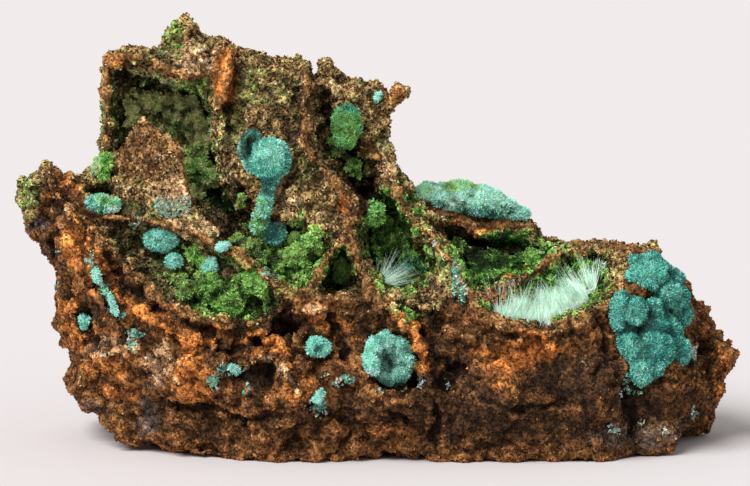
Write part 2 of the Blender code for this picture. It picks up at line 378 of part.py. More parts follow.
# Sprays of aurichalcite needles, as solids of the form that their tips reach.
AURICHALCITE = {
    "spray_right": (-0.25, 220, [
        (20.6, 25.0, 1.8, 2.0, 2.4), (22.4, 24.8, 2.2, 2.2, 2.8), (24.8, 25.0, 2.4, 2.4, 2.8),
        (27.4, 24.4, 2.6, 2.6, 2.8), (30.2, 25.0, 2.4, 2.4, 2.6), (32.8, 26.2, 2.4, 2.2, 2.4),
        (35.2, 27.8, 2.2, 2.2, 2.2), (37.4, 29.4, 1.6, 2.0, 1.8)]),
    "spray_middle": (-0.6, 80, [
        (0.8, 31.2, 0.9, 0.9, 0.9), (2.8, 31.6, 1.5, 1.4, 1.2), (5.2, 31.8, 2.0, 2.1, 1.5)]),
}


def seen(across, up, deep):
    """The point that shows at across and up from the front and lies deep behind the middle, in metres."""
    spread = 1 + deep / VIEW_DISTANCE
    drop = (deep - FOOT_DEPTH) * math.sin(VIEW_TILT)
    height = ((up - EYE_HEIGHT) * spread + EYE_HEIGHT - drop) / math.cos(VIEW_TILT)
    return Vector((across * spread - MIDDLE[0], deep - MIDDLE[1], height)) * MM


def sight():
    """The direction in which the viewer looks."""
    return Vector((0, math.cos(VIEW_TILT), -math.sin(VIEW_TILT)))


def distance_to(outline, across, up, closed=True):
    """How far each point lies from the outline's line."""
    ends = outline[1:] + outline[:1] if closed else outline[1:]
    nearest = np.full(across.shape, 1e9)
    for (ax, ay), (bx, by) in zip(outline, ends):
        length = (bx - ax) ** 2 + (by - ay) ** 2
        share = np.clip(((across - ax) * (bx - ax) + (up - ay) * (by - ay)) / length, 0, 1)
        gap = np.hypot(across - ax - share * (bx - ax), up - ay - share * (by - ay))
        nearest = np.minimum(nearest, gap)
    return nearest


def inside_of(outline, across, up):
    """Whether each point lies inside the outline."""
    crossings = np.zeros(across.shape, int)
    for (ax, ay), (bx, by) in zip(outline, outline[1:] + outline[:1]):
        if ay == by:
            continue
        spans = (ay > up) != (by > up)
        crossings += spans & (across < ax + (up - ay) * (bx - ax) / (by - ay))
    return crossings % 2 == 1


def blended(stations, across, up, power=3.0):
    """The mean of the stations' values, which start at their third number, weighted by nearness."""
    total = 0
    weights = 0
    for station in stations:
        weight = 1 / ((across - station[0]) ** 2 + (up - station[1]) ** 2 + 0.5) ** (power / 2)
        total = total + weight[..., None] * np.array(station[2:], float)
        weights = weights + weight
    return total / weights[..., None]


def eased(share):
    """The share from 0 to 1, with a slow start and end."""
    share = np.clip(share, 0, 1)
    return share * share * (3 - 2 * share)


def uneven(across, up, scale=13.0):
    """Smooth noise over the grid, from about -1 to 1."""
    return np.vectorize(lambda a, u: noise.fractal((a / scale, u / scale, 3.7), 1.0, 2.0, 3))(across, up)


def core_mesh():
    """The body of the rock: its front with the hollows let into it, its back, and the rim between them."""
    columns, rows = (np.arange(low, high, GRID_PITCH) for low, high in (GRID_ACROSS, GRID_UP))
    across, up = np.meshgrid(columns, rows, indexing="ij")
    front, back, rounding = np.moveaxis(blended(STANDING, across, up), -1, 0)
    back = back + BACK_RELIEF * uneven(across, up)
    rim = distance_to(SILHOUETTE, across, up)
    rim = np.where(inside_of(SILHOUETTE, across, up), rim, 0)
    middle = (front + back) / 2
    swell = np.sqrt(np.clip(1 - (1 - np.clip(rim / rounding, 0, 1)) ** 2, 0.02, 1))
    front = middle + (front - middle) * swell
    back = middle + (back - middle) * swell
    for outline, slope, floor in HOLLOWS.values():
        bowl = eased(distance_to(outline, across, up) / slope) * inside_of(outline, across, up)
        deep = blended(floor, across, up)[..., 0]
        front = front + (np.maximum(deep, front) - front) * bowl
    front = np.minimum(front, back - THINNEST_ROCK)
    kept = inside_of(SILHOUETTE, across[:-1, :-1] + GRID_PITCH / 2, up[:-1, :-1] + GRID_PITCH / 2)
    return skinned(across, up, front, back, kept)


def skinned(across, up, front, back, kept):
    """A closed mesh between the front and the back, over the cells that are kept."""
    mesh = bmesh.new()
    sheets = ({}, {})
    rows, columns = across.shape
    for i in range(rows):
        for j in range(columns):
            touching = kept[max(i - 1, 0):i + 1, max(j - 1, 0):j + 1]
            if touching.any():
                for sheet, deep in zip(sheets, (front, back)):
                    sheet[i, j] = mesh.verts.new(seen(across[i, j], up[i, j], deep[i, j]))
    near, far = sheets
    for i, j in np.argwhere(kept):
        ring = [(i, j), (i + 1, j), (i + 1, j + 1), (i, j + 1)]
        mesh.faces.new([near[corner] for corner in ring])
        mesh.faces.new([far[corner] for corner in reversed(ring)])
        for k, (di, dj) in enumerate(((0, -1), (1, 0), (0, 1), (-1, 0))):
            beside = (i + di, j + dj)
            if not (0 <= beside[0] < kept.shape[0] and 0 <= beside[1] < kept.shape[1] and kept[beside]):
                a, b = ring[k], ring[(k + 1) % 4]
                mesh.faces.new([near[b], near[a], far[a], far[b]])
    return mesh


def wall_mesh(crest, thickness, reach, shift):
    """A thin wall that runs back from its crest, thicker at the foot than at the crest."""
    mesh = bmesh.new()
    rings = []
    for k, point in enumerate(crest):
        before, after = crest[max(k - 1, 0)], crest[min(k + 1, len(crest) - 1)]
        along = Vector((after[0] - before[0], after[1] - before[1])).normalized()
        side = Vector((-along.y, along.x))
        ring = []
        for share, half in WALL_PROFILE:
            centre = Vector((point[0] + share * shift[0], point[1] + share * shift[1]))
            deep = point[2] + share * reach
            for sign in (-1, 1):
                at = centre + side * (sign * half * thickness)
                ring.append(mesh.verts.new(seen(at.x, at.y, deep)))
        rings.append([ring[n] for n in (0, 2, 4, 5, 3, 1)])
    for near, far in zip(rings, rings[1:]):
        for n in range(6):
            mesh.faces.new([near[n], near[(n + 1) % 6], far[(n + 1) % 6], far[n]])
    mesh.faces.new(rings[0])
    mesh.faces.new(list(reversed(rings[-1])))
    bmesh.ops.recalc_face_normals(mesh, faces=mesh.faces)
    return mesh


def blade_mesh(outline, behind, below):
    """A flat broken blade: its outline, given a thickness along the line of sight or downwards."""
    mesh = bmesh.new()
    near = [mesh.verts.new(seen(*point)) for point in outline]
    far = [mesh.verts.new(vert.co + sight() * behind * MM - Vector((0, 0, below * MM))) for vert in near]
    mesh.faces.new(near)
    mesh.faces.new(list(reversed(far)))
    for k in range(len(near)):
        after = (k + 1) % len(near)
        mesh.faces.new([near[k], far[k], far[after], near[after]])
    bmesh.ops.triangulate(mesh, faces=mesh.faces)
    bmesh.ops.recalc_face_normals(mesh, faces=mesh.faces)
    return mesh


def ellipsoids(centres_and_halves, grown=0.0, detail=3):
    """Ellipsoids, each grown all round, that may run into one another."""
    mesh = bmesh.new()
    for centre, halves in centres_and_halves:
        made = bmesh.ops.create_icosphere(mesh, subdivisions=detail, radius=1.0)
        for vert in made["verts"]:
            vert.co = centre + Vector(c * (h + grown) * MM for c, h in zip(vert.co, halves))
    return mesh


def lump_mesh(lumps, grown=0.0, detail=3):
    """Ellipsoids whose centres are given as they are seen."""
    return ellipsoids([(seen(*lump[:3]), lump[3:]) for lump in lumps], grown, detail)


def joined(meshes):
    """One mesh that holds them all."""
    whole = bmesh.new()
    for part in meshes:
        held = bpy.data.meshes.new("held")
        part.to_mesh(held)
        part.free()
        whole.from_mesh(held)
        bpy.data.meshes.remove(held)
    return whole


def object_of(name, mesh):
    data = bpy.data.meshes.new(name)
    mesh.to_mesh(data)
    mesh.free()
    made = bpy.data.objects.new(name, data)
    bpy.context.scene.collection.objects.link(made)
    return made


def settle(made):
    """Applies the object's modifiers."""
    graph = bpy.context.evaluated_depsgraph_get()
    data = bpy.data.meshes.new_from_object(made.evaluated_get(graph))
    made.modifiers.clear()
    made.data = data


def remesh(made, voxel):
    modifier = made.modifiers.new("even_faces", "REMESH")
    modifier.mode = "VOXEL"
    modifier.voxel_size = voxel * MM
    settle(made)


def thin_out(made, triangles):
    """Reduces the object to about this many triangles."""
    made.data.calc_loop_triangles()
    modifier = made.modifiers.new("fewer_faces", "DECIMATE")
    modifier.ratio = min(1.0, triangles / len(made.data.loop_triangles))
    modifier.use_collapse_triangulate = True
    settle(made)


def cut(made, cutter, operation="DIFFERENCE"):
    """Takes the cutter from the object, or leaves only what they share, and removes the cutter."""
    modifier = made.modifiers.new("cut", "BOOLEAN")
    modifier.operation = operation
    modifier.object = cutter
    settle(made)
    bpy.data.objects.remove(cutter)


def roughen(made, height, scale):
    """Moves the surface in and out, as broken rock is."""
    mesh = bmesh.new()
    mesh.from_mesh(made.data)
    mesh.normal_update()
    moves = []
    for vert in mesh.verts:
        spot = vert.co / (scale * MM)
        coarse = noise.fractal(spot, 0.9, 2.0, 3)
        ridge = noise.ridged_multi_fractal(spot * 0.6, 1.0, 2.0, 3, 1.0, 2.0) - 1.2
        moves.append(vert.normal * (coarse + 0.35 * ridge) * height * MM)
    for vert, move in zip(mesh.verts, moves):
        vert.co += move
    mesh.to_mesh(made.data)
    mesh.free()


def islands_of(mesh):
    """The sets of points that hang together, the largest first."""
    left = set(mesh.verts)
    islands = []
    while left:
        island = set()
        edge = [left.pop()]
        while edge:
            vert = edge.pop()
            island.add(vert)
            for link in vert.link_edges:
                other = link.other_vert(vert)
                if other in left:
                    left.remove(other)
                    edge.append(other)
        islands.append(island)
    return sorted(islands, key=len, reverse=True)


def split_off(made, smallest=1.0):
    """Leaves the object its largest island.  Another of at least this share of it gets its own object."""
    mesh = bmesh.new()
    mesh.from_mesh(made.data)
    islands = islands_of(mesh)
    spare = []
    for island in islands[1:]:
        if len(island) >= smallest * len(islands[0]):
            spare.append(part_of(island))
        bmesh.ops.delete(mesh, geom=list(island), context="VERTS")
    mesh.to_mesh(made.data)
    mesh.free()
    return [object_of(f"{made.name}_{k}", one) for k, one in enumerate(spare, 2)]


def part_of(island):
    """A mesh of its own with these points and the faces between them."""
    found = bmesh.new()
    copies = {vert: found.verts.new(vert.co) for vert in sorted(island, key=lambda vert: vert.index)}
    faces = {face for vert in island for face in vert.link_faces}
    for face in sorted(faces, key=lambda face: face.index):
        found.faces.new([copies[vert] for vert in face.verts])
    return found


def rock():
    """The limonite boxwork."""
    meshes = [core_mesh(), lump_mesh(LUMPS)]
    meshes += [wall_mesh(*wall) for wall in WALLS.values()]
    meshes += [blade_mesh(*blade) for blade in BLADES.values()]
    made = object_of("boxwork_matrix", joined(meshes))
    remesh(made, ROCK_VOXEL)
    hollows = object_of("undercuts", ellipsoids([(Vector(one[:3]) * MM, one[3:]) for one in UNDERCUTS]))
    remesh(hollows, UNDERCUT_VOXEL)
    cut(made, hollows)
    remesh(made, ROCK_VOXEL)
    roughen(made, ROCK_RELIEF, ROCK_GRAIN)
    thin_out(made, ROCK_TRIANGLES)
    cut(made, floor_block(), "INTERSECT")
    split_off(made)
    return made


def floor_block():
    """A block whose underside is the surface that the specimen stands on."""
    side = 400 * MM
    mesh = bmesh.new()
    bmesh.ops.create_cube(mesh, size=side)
    bmesh.ops.translate(mesh, verts=mesh.verts, vec=(0, 0, side / 2))
    return object_of("above_floor", mesh)


def surface_of(made):
    """The object's surface, ready to be met by a line of sight."""
    mesh = bmesh.new()
    mesh.from_mesh(made.data)
    tree = BVHTree.FromBMesh(mesh)
    mesh.free()
    return tree


def placed(surface, lumps, sunk):
    """The lumps with the depth at which each sits on the rock, as ellipsoids want them."""
    found = []
    for across, up, half_across, half_up, half_deep in lumps:
        near, far = seen(across, up, -SIGHT_REACH), seen(across, up, SIGHT_REACH)
        spot = surface.ray_cast(near, (far - near).normalized())[0]
        deep = spot.y / MM + MIDDLE[1] + sunk * half_deep
        found.append((across, up, deep, half_across, half_deep, half_up))
    return found


def grown_rock(made):
    """The rock with its surface moved out by the gap that is kept between it and the crystals."""
    grown = object_of("grown_rock", bmesh.new())
    grown.data = made.data.copy()
    modifier = grown.modifiers.new("gap", "DISPLACE")
    modifier.strength = CRYSTAL_GAP * MM
    modifier.mid_level = 0
    settle(grown)
    return grown


def box_of(made):
    """The lowest and the highest corner of the object's box."""
    places = np.array([vert.co for vert in made.data.vertices])
    return places.min(axis=0), places.max(axis=0)


def near_each_other(one, other):
    """Whether the boxes of the two objects meet."""
    (low, high), (other_low, other_high) = box_of(one), box_of(other)
    return bool((low < other_high).all() and (other_low < high).all())


def crystals(name, lumps, faces, keep_clear, finish):
    """Lumps of crystal grown together, with a back that follows the rock and the crystals beside them."""
    made = object_of(name, lump_mesh(lumps))
    remesh(made, CRYSTAL_VOXEL)
    thin_out(made, 3 * faces)
    for other in keep_clear:
        if near_each_other(made, other):
            modifier = made.modifiers.new("gap", "BOOLEAN")
            modifier.object = other
            modifier.use_self = True
            settle(made)
    remesh(made, CRYSTAL_VOXEL)
    thin_out(made, faces)
    for patch in [made, *split_off(made, SMALLEST_PATCH)]:
        patch.data.materials.clear()
        patch.data.materials.append(finish)
        patch.data.shade_smooth()
    bulk = object_of(name + "_bulk", lump_mesh(lumps, CRYSTAL_GAP, 2))
    remesh(bulk, CRYSTAL_VOXEL)
    keep_clear.append(bulk)
    return made


def material(name, finish):
    """A plain surface of the finish's colour and roughness."""
    colour, roughness = finish
    made = bpy.data.materials.new(name)
    made.use_nodes = True
    shader = made.node_tree.nodes["Principled BSDF"]
    shader.inputs["Base Color"].default_value = (*colour, 1)
    shader.inputs["Roughness"].default_value = roughness
    shader.inputs["Metallic"].default_value = 0.0
    made.diffuse_color = (*colour, 1)
    return made


def main():
    for item in list(bpy.data.objects):
        bpy.data.objects.remove(item)
    matrix = rock()
    matrix.data.materials.append(material("limonite", LIMONITE_FINISH))
    surface = surface_of(matrix)
    keep_clear = [grown_rock(matrix)]
    turquoise = material("rosasite", ROSASITE_FINISH)
    crystals("rosasite_ridge_cluster", RIDGE_CLUSTER, RIDGE_FACES, keep_clear, turquoise)
    minerals = (
        ("rosasite", ROSASITE, turquoise),
        ("aurichalcite", AURICHALCITE, material("aurichalcite", AURICHALCITE_FINISH)),
        ("conichalcite", CONICHALCITE, material("conichalcite", CONICHALCITE_FINISH)),
    )
    for mineral, group, finish in minerals:
        for name, (sunk, faces, lumps) in group.items():
            crystals(f"{mineral}_{name}", placed(surface, lumps, sunk), faces, keep_clear, finish)
    for helper in keep_clear:
        bpy.data.objects.remove(helper)


main()
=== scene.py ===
"""Rosasite with conichalcite, dressed for its picture: a boxwork rock, druse, balls, moss and needles.

X runs to the right, Y away from the viewer and Z up. Places on the rock are given as a viewer in front sees
them, in millimetres across and up from the middle of the foot. Sizes are in millimetres too.
"""

import math

import bpy
import numpy as np
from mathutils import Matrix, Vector, noise


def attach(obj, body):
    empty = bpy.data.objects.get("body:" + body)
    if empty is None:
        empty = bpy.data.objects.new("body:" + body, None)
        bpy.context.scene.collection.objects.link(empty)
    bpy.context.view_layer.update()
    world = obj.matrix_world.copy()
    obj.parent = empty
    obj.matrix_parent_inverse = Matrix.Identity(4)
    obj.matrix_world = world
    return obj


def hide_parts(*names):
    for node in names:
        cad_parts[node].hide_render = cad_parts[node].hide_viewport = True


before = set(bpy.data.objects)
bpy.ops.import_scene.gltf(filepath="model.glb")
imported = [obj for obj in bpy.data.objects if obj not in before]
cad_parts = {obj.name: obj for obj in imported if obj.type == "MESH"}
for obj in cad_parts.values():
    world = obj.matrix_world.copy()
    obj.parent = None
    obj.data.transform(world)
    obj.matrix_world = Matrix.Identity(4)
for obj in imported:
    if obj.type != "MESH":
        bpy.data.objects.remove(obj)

bl_info = {
    "name": "Rosasite Specimen",
    "version": (1, 0, 0),
    "blender": (4, 5, 0),
    "location": "View3D > Sidebar > Specimen",
    "description": "Dresses a boxwork rock with druse, velvet balls, moss and needles",
    "category": "Add Mesh",
}

MM = 0.001

# The view, by which places are given, and the camera.
VIEW_TILT = math.radians(9.0)
VIEW_DISTANCE = 1200.0
FOOT_DEPTH = -20.0
EYE_HEIGHT = 36.0
MIDDLE = (0.25, 1.2)
PICTURE_WIDTH = 125.0
PICTURE_SHIFT = 0.333
SENSOR = 36.0
CLIP_START = 0.05

# The stage, in metres.
FLOOR_SIZE = 8.0
FLOOR_DROP = 0.05 * MM
FLOOR_COLOUR = (0.84, 0.793, 0.8, 1)
SKY_COLOUR = (1.0, 0.98, 0.96, 1)
SUN_PLACE = (-0.5, -0.55, 0.8)

# How a screen's colours turn into light: the share where the straight part ends, its slope, and the curve's
# shift and power.
SCREEN_KNEE = 0.04045
SCREEN_SLOPE = 12.92
SCREEN_SHIFT = 0.055
SCREEN_POWER = 2.4

# Where the random numbers start.
GRAIN_SEED = 11
FLECK_SEED = 20
ROSASITE_SEED = 100
CONICHALCITE_SEED = 200
SPRAY_SEED = 300

# How far the edges of patches wander on the rock, and a distance that is beyond the reach of every line.
PATCH_DRIFT = 1.8
FAR = 9.0

# Patches and lines colour nothing behind this depth, and these grounds lie on druse only: the grown crusts,
# and shade, which is painted shade.
LAST_DEPTH = 18.0
GROWN_AND_SHADE_GROUNDS = ("moss", "khaki", "shade", "grey_green")

# The tower is the druse on the left of this sloping line: its slope, and across where up is 0.
TOWER_SLOPE = 0.35
TOWER_EDGE = 4.0

# How far crests reach and over what length they fade, and the same for the druse in depth.
CREST_REACH = 1.9
CREST_FADE = 1.2
DRUSE_DEPTH = 16.0
DRUSE_FADE = 4.0

# How ragged the edges of flecks and bare patches are and how far they wander, and the grains of the flecks.
FLECK_SPREAD = (0.7, 0.4)
BARE_SPREAD = (0.3, 0.3)
FLECK_COUNT = 2100
FLECK_SIZE = 0.6

# The least and the most of the usual size and light of grains, of a body's tips and of needles, and how much
# of each is sunk in.
GRAIN_SIZES = (0.55, 1.45)
GRAIN_LIGHT = (0.55, 1.4)
GRAIN_SUNK = 0.45
TIP_SIZES = (0.65, 1.35)
TIP_LIGHT = (0.75, 1.2)
TIP_SUNK = 0.25
NEEDLE_WIDTHS = (0.6, 1.2)
NEEDLE_LIGHT = (0.55, 1.1)
NEEDLE_SUNK = 0.05

# The bodies under the crystals: the fineness of their surface and the triangles left in them.
BODY_VOXEL = 0.4
BODY_FACES = 9000

# How far the pieces of crystals swell; SWELLS holds those that differ from the usual amount.
ROSASITE_SWELL = -0.1
CONICHALCITE_SWELL = -0.3
SWELLS = {"central_ball": -0.4, "left_vein": 0.1, "low_flake": 0.1, "recess_flake": 0.1}

# The rock's relief: name, pattern, size, height, middle, where it lies and how its distances are measured.
# The heights in ROCK_RELIEF are shares of the setting for the relief.
ROCK_RELIEF = [
    ("broken_relief", "CLOUDS", 5.0, 0.7, 0.5, "open_face", None),
    ("facets", "VORONOI", 4.2, -1.4, 0.5, "open_face", "MANHATTAN"),
    ("small_facets", "VORONOI", 1.9, -0.6, 0.5, "open_face", "CHEBYCHEV"),
    ("pits", "VORONOI", 1.5, 0.5, 0.45, "open_face", None),
    ("small_relief", "CLOUDS", 1.4, 0.55, 0.5, "", None),
]
DRUSE_RELIEF = [
    ("druse_lumps", "VORONOI", 2.4, -1.5, 0.4, "lined", None),
    ("druse_knobs", "VORONOI", 1.1, -0.6, 0.4, "lined", None),
    ("fine_relief", "CLOUDS", 0.7, 0.3, 0.5, "", None),
]

# How fine crystals look: the painted shade of their roots and the painted highlight of their tips,
# roughness, sheen, painted glow and shine.
FINISHES = {
    "druse": (0.5, 1.25, 0.55, 0.0, 0.0, 0.2),
    "grit": (0.7, 1.1, 0.8, 0.0, 0.0, 0.2),
    "rosasite": (0.62, 1.2, 0.6, 0.35, 0.0, 0.2),
    "conichalcite": (0.45, 1.3, 0.5, 0.1, 0.0, 0.2),
    "aurichalcite": (0.66, 1.25, 0.3, 0.2, 0.34, 0.5),
}


def grouped(runs, *rest):
    """The patches of these runs in order, each with its run's ground in front and the rest behind."""
    return [(kind, *place, *rest) for kind, places_of in runs for place in places_of]


# What each kind of ground is mixed from: colour and share.
MIXTURES = {
    "druse": {"tan": 0.27, "olive": 0.14, "umber": 0.28, "soot": 0.16, "peach": 0.09, "sage": 0.06},
    "broken": {"brown": 0.3, "umber": 0.36, "rust": 0.1, "soot": 0.24},
    "khaki": {"olive": 0.3, "sage": 0.32, "umber": 0.16, "soot": 0.12, "leaf": 0.1},
    "moss": {"leaf": 0.34, "grass": 0.32, "lime": 0.16, "bottle": 0.18},
    # bright_moss is light conichalcite, and also the painted highlight on moss.
    "bright_moss": {"lime": 0.4, "leaf": 0.45, "grass": 0.15},
    # shade is dark green conichalcite made darker still as painted shade in hollows, on back walls and under
    # overhangs.
    "shade": {"bottle": 0.72, "soot": 0.22, "grass": 0.06},
    "earth": {"brown": 0.4, "umber": 0.4, "tan": 0.1, "soot": 0.1},
    # grey_green is the upper chamber's grey-green, made lighter as painted light against the shadow of the
    # overhang.
    "grey_green": {"lichen": 0.5, "sage": 0.2, "leaf": 0.15, "tan": 0.15},
    "pale": {"peach": 0.34, "bone": 0.1, "tan": 0.4, "umber": 0.16},
    "mint": {"mint": 0.6, "ice": 0.2, "peach": 0.2},
    "rust": {"rust": 0.62, "ember": 0.12, "brown": 0.2, "umber": 0.06},
    "ember": {"ember": 0.6, "rust": 0.4},
    # dark is painted shade in recesses, crevices, cracks and on the lower front.
    "dark": {"soot": 0.72, "umber": 0.28},
    "slate": {"slate": 0.6, "umber": 0.4},
    "rosasite": {"turquoise": 0.44, "lagoon": 0.3, "ice": 0.2, "deep_sea": 0.06},
    # pale_rosasite and deep_rosasite are the paler and deeper teal of rosasite, and also its painted
    # highlight and painted shade.
    "pale_rosasite": {"ice": 0.62, "turquoise": 0.34, "frost": 0.04},
    "deep_rosasite": {"lagoon": 0.36, "deep_sea": 0.62, "turquoise": 0.02},
    "powder": {"mint": 0.6, "ice": 0.4},
    "jade": {"jade": 0.42, "leaf": 0.24, "turquoise": 0.12, "bottle": 0.22},
    "needle": {"frost": 0.6, "glass": 0.4},
    "frost": {"frost": 0.5, "bone": 0.3, "ice": 0.2},
    "teal_floor": {"deep_sea": 0.6, "bottle": 0.3, "lagoon": 0.1},
}

# Patches of the rock that differ from what lies round them: the kind of ground, then across, up, the half
# sizes, how strong it is and, for some, how far behind the middle it begins.
# The shade patches, and the dark ones, are painted shade in hollows, recesses, crevices, under overhangs and
# on the lower front.
ROCK_PATCHES = grouped([
    ("earth", [(-37.8, 52.5, 5.5, 6.5, 0.85)]),
    ("moss", [(-24.5, 27.5, 9, 6.5, 0.9)]),
    ("khaki", [(-33.3, 31.3, 7, 5.2, 0.75), (-39, 36.5, 5, 2.5, 0.5)]),
    # The grey_green patches are partly the chamber's own colour and partly painted light against the
    # overhang's shadow.
    ("grey_green", [(-35.5, 57.2, 9, 9, 1, 2.5), (-30.8, 48.2, 5, 8, 0.8, 2.5)]),
    ("moss", [(-29.2, 48.5, 3.2, 4.6, 0.9, 2.5)]),
    ("khaki", [(-16.5, 62, 4, 3, 0.35), (-21, 62, 2.4, 3.4, 0.5), (-23.4, 57, 2, 6, 0.5)]),
    ("moss", [(-31.5, 61.2, 2.6, 1.6, 0.5)]),
    ("shade", [(-40, 63.4, 3, 1.4, 0.7, 2.5)]),
    ("moss", [(-28.3, 41, 3.3, 4.2, 0.45), (-12.5, 34.3, 6.3, 5.8, 0.85), (-20.8, 36.8, 4.2, 4.2, 0.5)]),
    ("khaki", [(-22.5, 43.5, 1.3, 2, 0.8), (-7.5, 51.8, 2, 1.7, 0.7)]),
    ("moss", [(-3.3, 49.3, 2, 2, 0.6)]),
    ("khaki", [(1.7, 52, 2, 2.5, 0.6)]),
    ("moss", [(2.5, 39.3, 4.7, 5.8, 0.95), (4.2, 31.8, 5, 4.2, 0.7)]),
    ("shade", [(-5, 31.2, 2.8, 4.2, 0.7)]),
    ("moss", [
        (5.5, 24.3, 3, 1.3, 0.9), (19.2, 33.6, 11.5, 5, 1), (30.8, 29.3, 8.3, 5, 0.8),
        (-33.2, 69.3, 1.3, 3.7, 0.5),
    ]),
    ("khaki", [(-57.2, 44.3, 2.6, 4, 0.8), (-42.4, 56, 2.8, 9, 0.8, 1), (-40.8, 41.8, 4.2, 1.7, 0.5)]),
    ("moss", [(-28.3, 61.8, 2.3, 2, 0.4)]),
    # Painted shade on the back wall of the right basin.
    ("shade", [(17, 35.4, 9, 2.6, 0.95, 0)]),
    ("dark", [(16.6, 35.6, 5.4, 2, 0.5, 0)]),
    ("shade", [(13, 31, 3, 4, 0.6, 0), (-12, 49, 2, 3, 0.4)]),
    ("rust", [(-43.3, 66, 2, 1.1, 0.7), (-51.7, 43.5, 2.2, 4.6, 0.9)]),
    ("ember", [(-51.8, 42.4, 2.2, 4.4, 0.7)]),
    ("pale", [(-52, 42, 1.8, 4, 0.6)]),
    ("rust", [
        (-49.2, 37, 2.8, 4.6, 0.9), (-46, 31.5, 2.4, 4.3, 0.8), (-37.5, 24.2, 5.2, 1.7, 0.8),
        (-29.2, 20.8, 5, 2.3, 0.8), (-49.7, 22.8, 3.2, 3.8, 0.75), (-31, 14.8, 3.2, 5, 0.8),
        (-20.3, 20.2, 4.2, 1.4, 0.8), (-10.5, 25.2, 5.2, 1.5, 0.7), (-5, 42.7, 1.7, 2, 0.9),
        (17.5, 39.2, 4.2, 0.9, 0.8), (21.7, 32.2, 3.3, 1.3, 0.7), (25, 18.2, 7.7, 2.6, 0.95),
    ]),
    ("ember", [(25.4, 18, 6, 2.6, 0.5)]),
    ("rust", [
        (20.8, 15, 3.2, 3.5, 0.6), (57.7, 13.2, 1, 4.2, 0.6), (4.2, 5.2, 10, 1.4, 0.3),
        (7.2, 22, 1.3, 4.2, 0.8), (-13.7, 12.8, 4, 2.5, 0.5), (3.7, 60.7, 2, 2, 0.6),
        (-44.5, 16.5, 5, 2.4, 0.7), (-8, 23.6, 3, 1.6, 0.6), (39.4, 25, 1.4, 5, 0.5),
        (-43.8, 10.8, 3.5, 2.2, 0.6),
    ]),
    # Painted shade: the lower front that faces down, recesses, crevices and the end pocket.
    ("dark", [
        (14, 9, 9, 7, 0.7), (24, 6, 14, 4, 0.7), (0, 7.5, 8, 3, 0.6), (44, 5, 10, 4, 0.4),
        (-20, 14.6, 4.3, 3.6, 0.95), (-26.5, 18.6, 2.6, 1.8, 0.8), (-16.3, 22.7, 2.4, 2.3, 1),
        (-10.2, 26.4, 1.6, 1.2, 0.7), (-10.5, 21.4, 2.4, 1.4, 0.6), (-2.2, 24.4, 1.4, 2.4, 0.7),
        (-47.5, 24.3, 2.5, 2.3, 0.95), (-54.2, 34.3, 0.9, 3.4, 0.8), (33.8, 13.5, 7.8, 4.3, 0.9),
        (10.7, 17.2, 1.3, 4.6, 0.9), (13, 20.5, 4, 1.6, 0.6), (44, 9.5, 4.6, 5.2, 0.85),
        (52.8, 33.5, 1.4, 3.3, 0.5), (30, 22, 6, 1, 0.4), (-4.2, 49.3, 2, 3.7, 1), (-1.2, 43.8, 2, 3.7, 1),
        (-41.5, 63.9, 2.3, 1.3, 0.9), (-24.5, 42, 3, 6, 0.85),
    ]),
    # Painted shade in the hollow under the blade.
    ("shade", [(-26.6, 42.4, 2.6, 5, 0.75)]),
    # More painted shade, low on the front and in hollows.
    ("dark", [
        (-24.5, 50, 1.2, 4, 0.5), (-38.5, 33.3, 1.4, 3.4, 0.4), (54, 12, 4, 5, 0.4), (-14, 6, 5, 2, 0.4),
        (-31, 6, 6, 1.6, 0.5), (-36, 30, 0.7, 3, 0.5),
    ]),
    ("mint", [(-34.6, 42.6, 3, 1.1, 0.8)]),
    ("pale", [
        (-44.2, 18.3, 4.7, 1.8, 0.5), (-35.5, 15.6, 2.6, 3.4, 0.45), (-33.6, 45.3, 4, 2.2, 0.75),
        (-29, 40, 5, 2.3, 0.75), (-29.8, 66.6, 3.8, 2.3, 0.9), (-35.8, 51.5, 1.6, 1, 0.5),
        (-7.5, 62.6, 1.8, 2.6, 0.6), (-25.6, 31.2, 1.8, 1.3, 0.7), (-33, 28, 1.8, 1.8, 0.6),
        (-9.8, 24.9, 2.6, 0.7, 0.6), (45.8, 5.2, 5, 1.7, 0.2), (2.5, 49.3, 2, 2.5, 0.5),
        (10.8, 31.8, 1.4, 3.3, 0.5), (-22.6, 16.8, 1, 0.7, 0.5), (24, 34.4, 2, 1.2, 0.5),
        (-14.8, 43.6, 1.6, 2.4, 0.6),
    ]),
    ("slate", [
        (-38, 7.4, 2, 2.6, 0.8), (-56, 39.7, 1.7, 0.8, 0.95), (44.2, 4.2, 6.7, 1.6, 0.6),
        (-48, 9, 2.4, 1.6, 0.6), (-36.5, 12.4, 2.4, 1.4, 0.5), (-45.6, 9.6, 3, 1.2, 0.4),
    ]),
])

# Where the rock is bare of druse, and the ground that shows there, as patches in the same way.
BARE = [
    ("rust", -24.9, 63.6, 1.9, 4.8, 1), ("ember", -24.6, 66.2, 1.5, 1.6, 0.5),
    ("rust", -5.2, 42.8, 1.3, 1.8, 0.9), ("earth", 18, 39.3, 7, 0.8, 0.8),
]

# Where the relief of the rock is lower than elsewhere.
SMOOTH = grouped([
    ("smooth", [
        (38, 9, 22, 10, 0.55), (12, 6, 12, 5, 0.4), (-34, 8, 12, 5, 0.3), (-35.5, 48, 6, 10, 0.7),
        (18, 39.4, 9, 1.7, 0.8), (-24.9, 63.6, 2.4, 5, 0.7),
    ]),
])

# Where thin layers of the rock show as lines that run down to the right.
LAYERED = grouped([
    ("layered", [
        (-50.4, 41, 4, 7, 1), (-45, 33, 4.5, 6, 1), (-38, 27, 5.5, 4, 0.8), (-30, 22.5, 5, 2.6, 0.6),
        (26, 29, 8, 2, 0.8),
    ]),
])

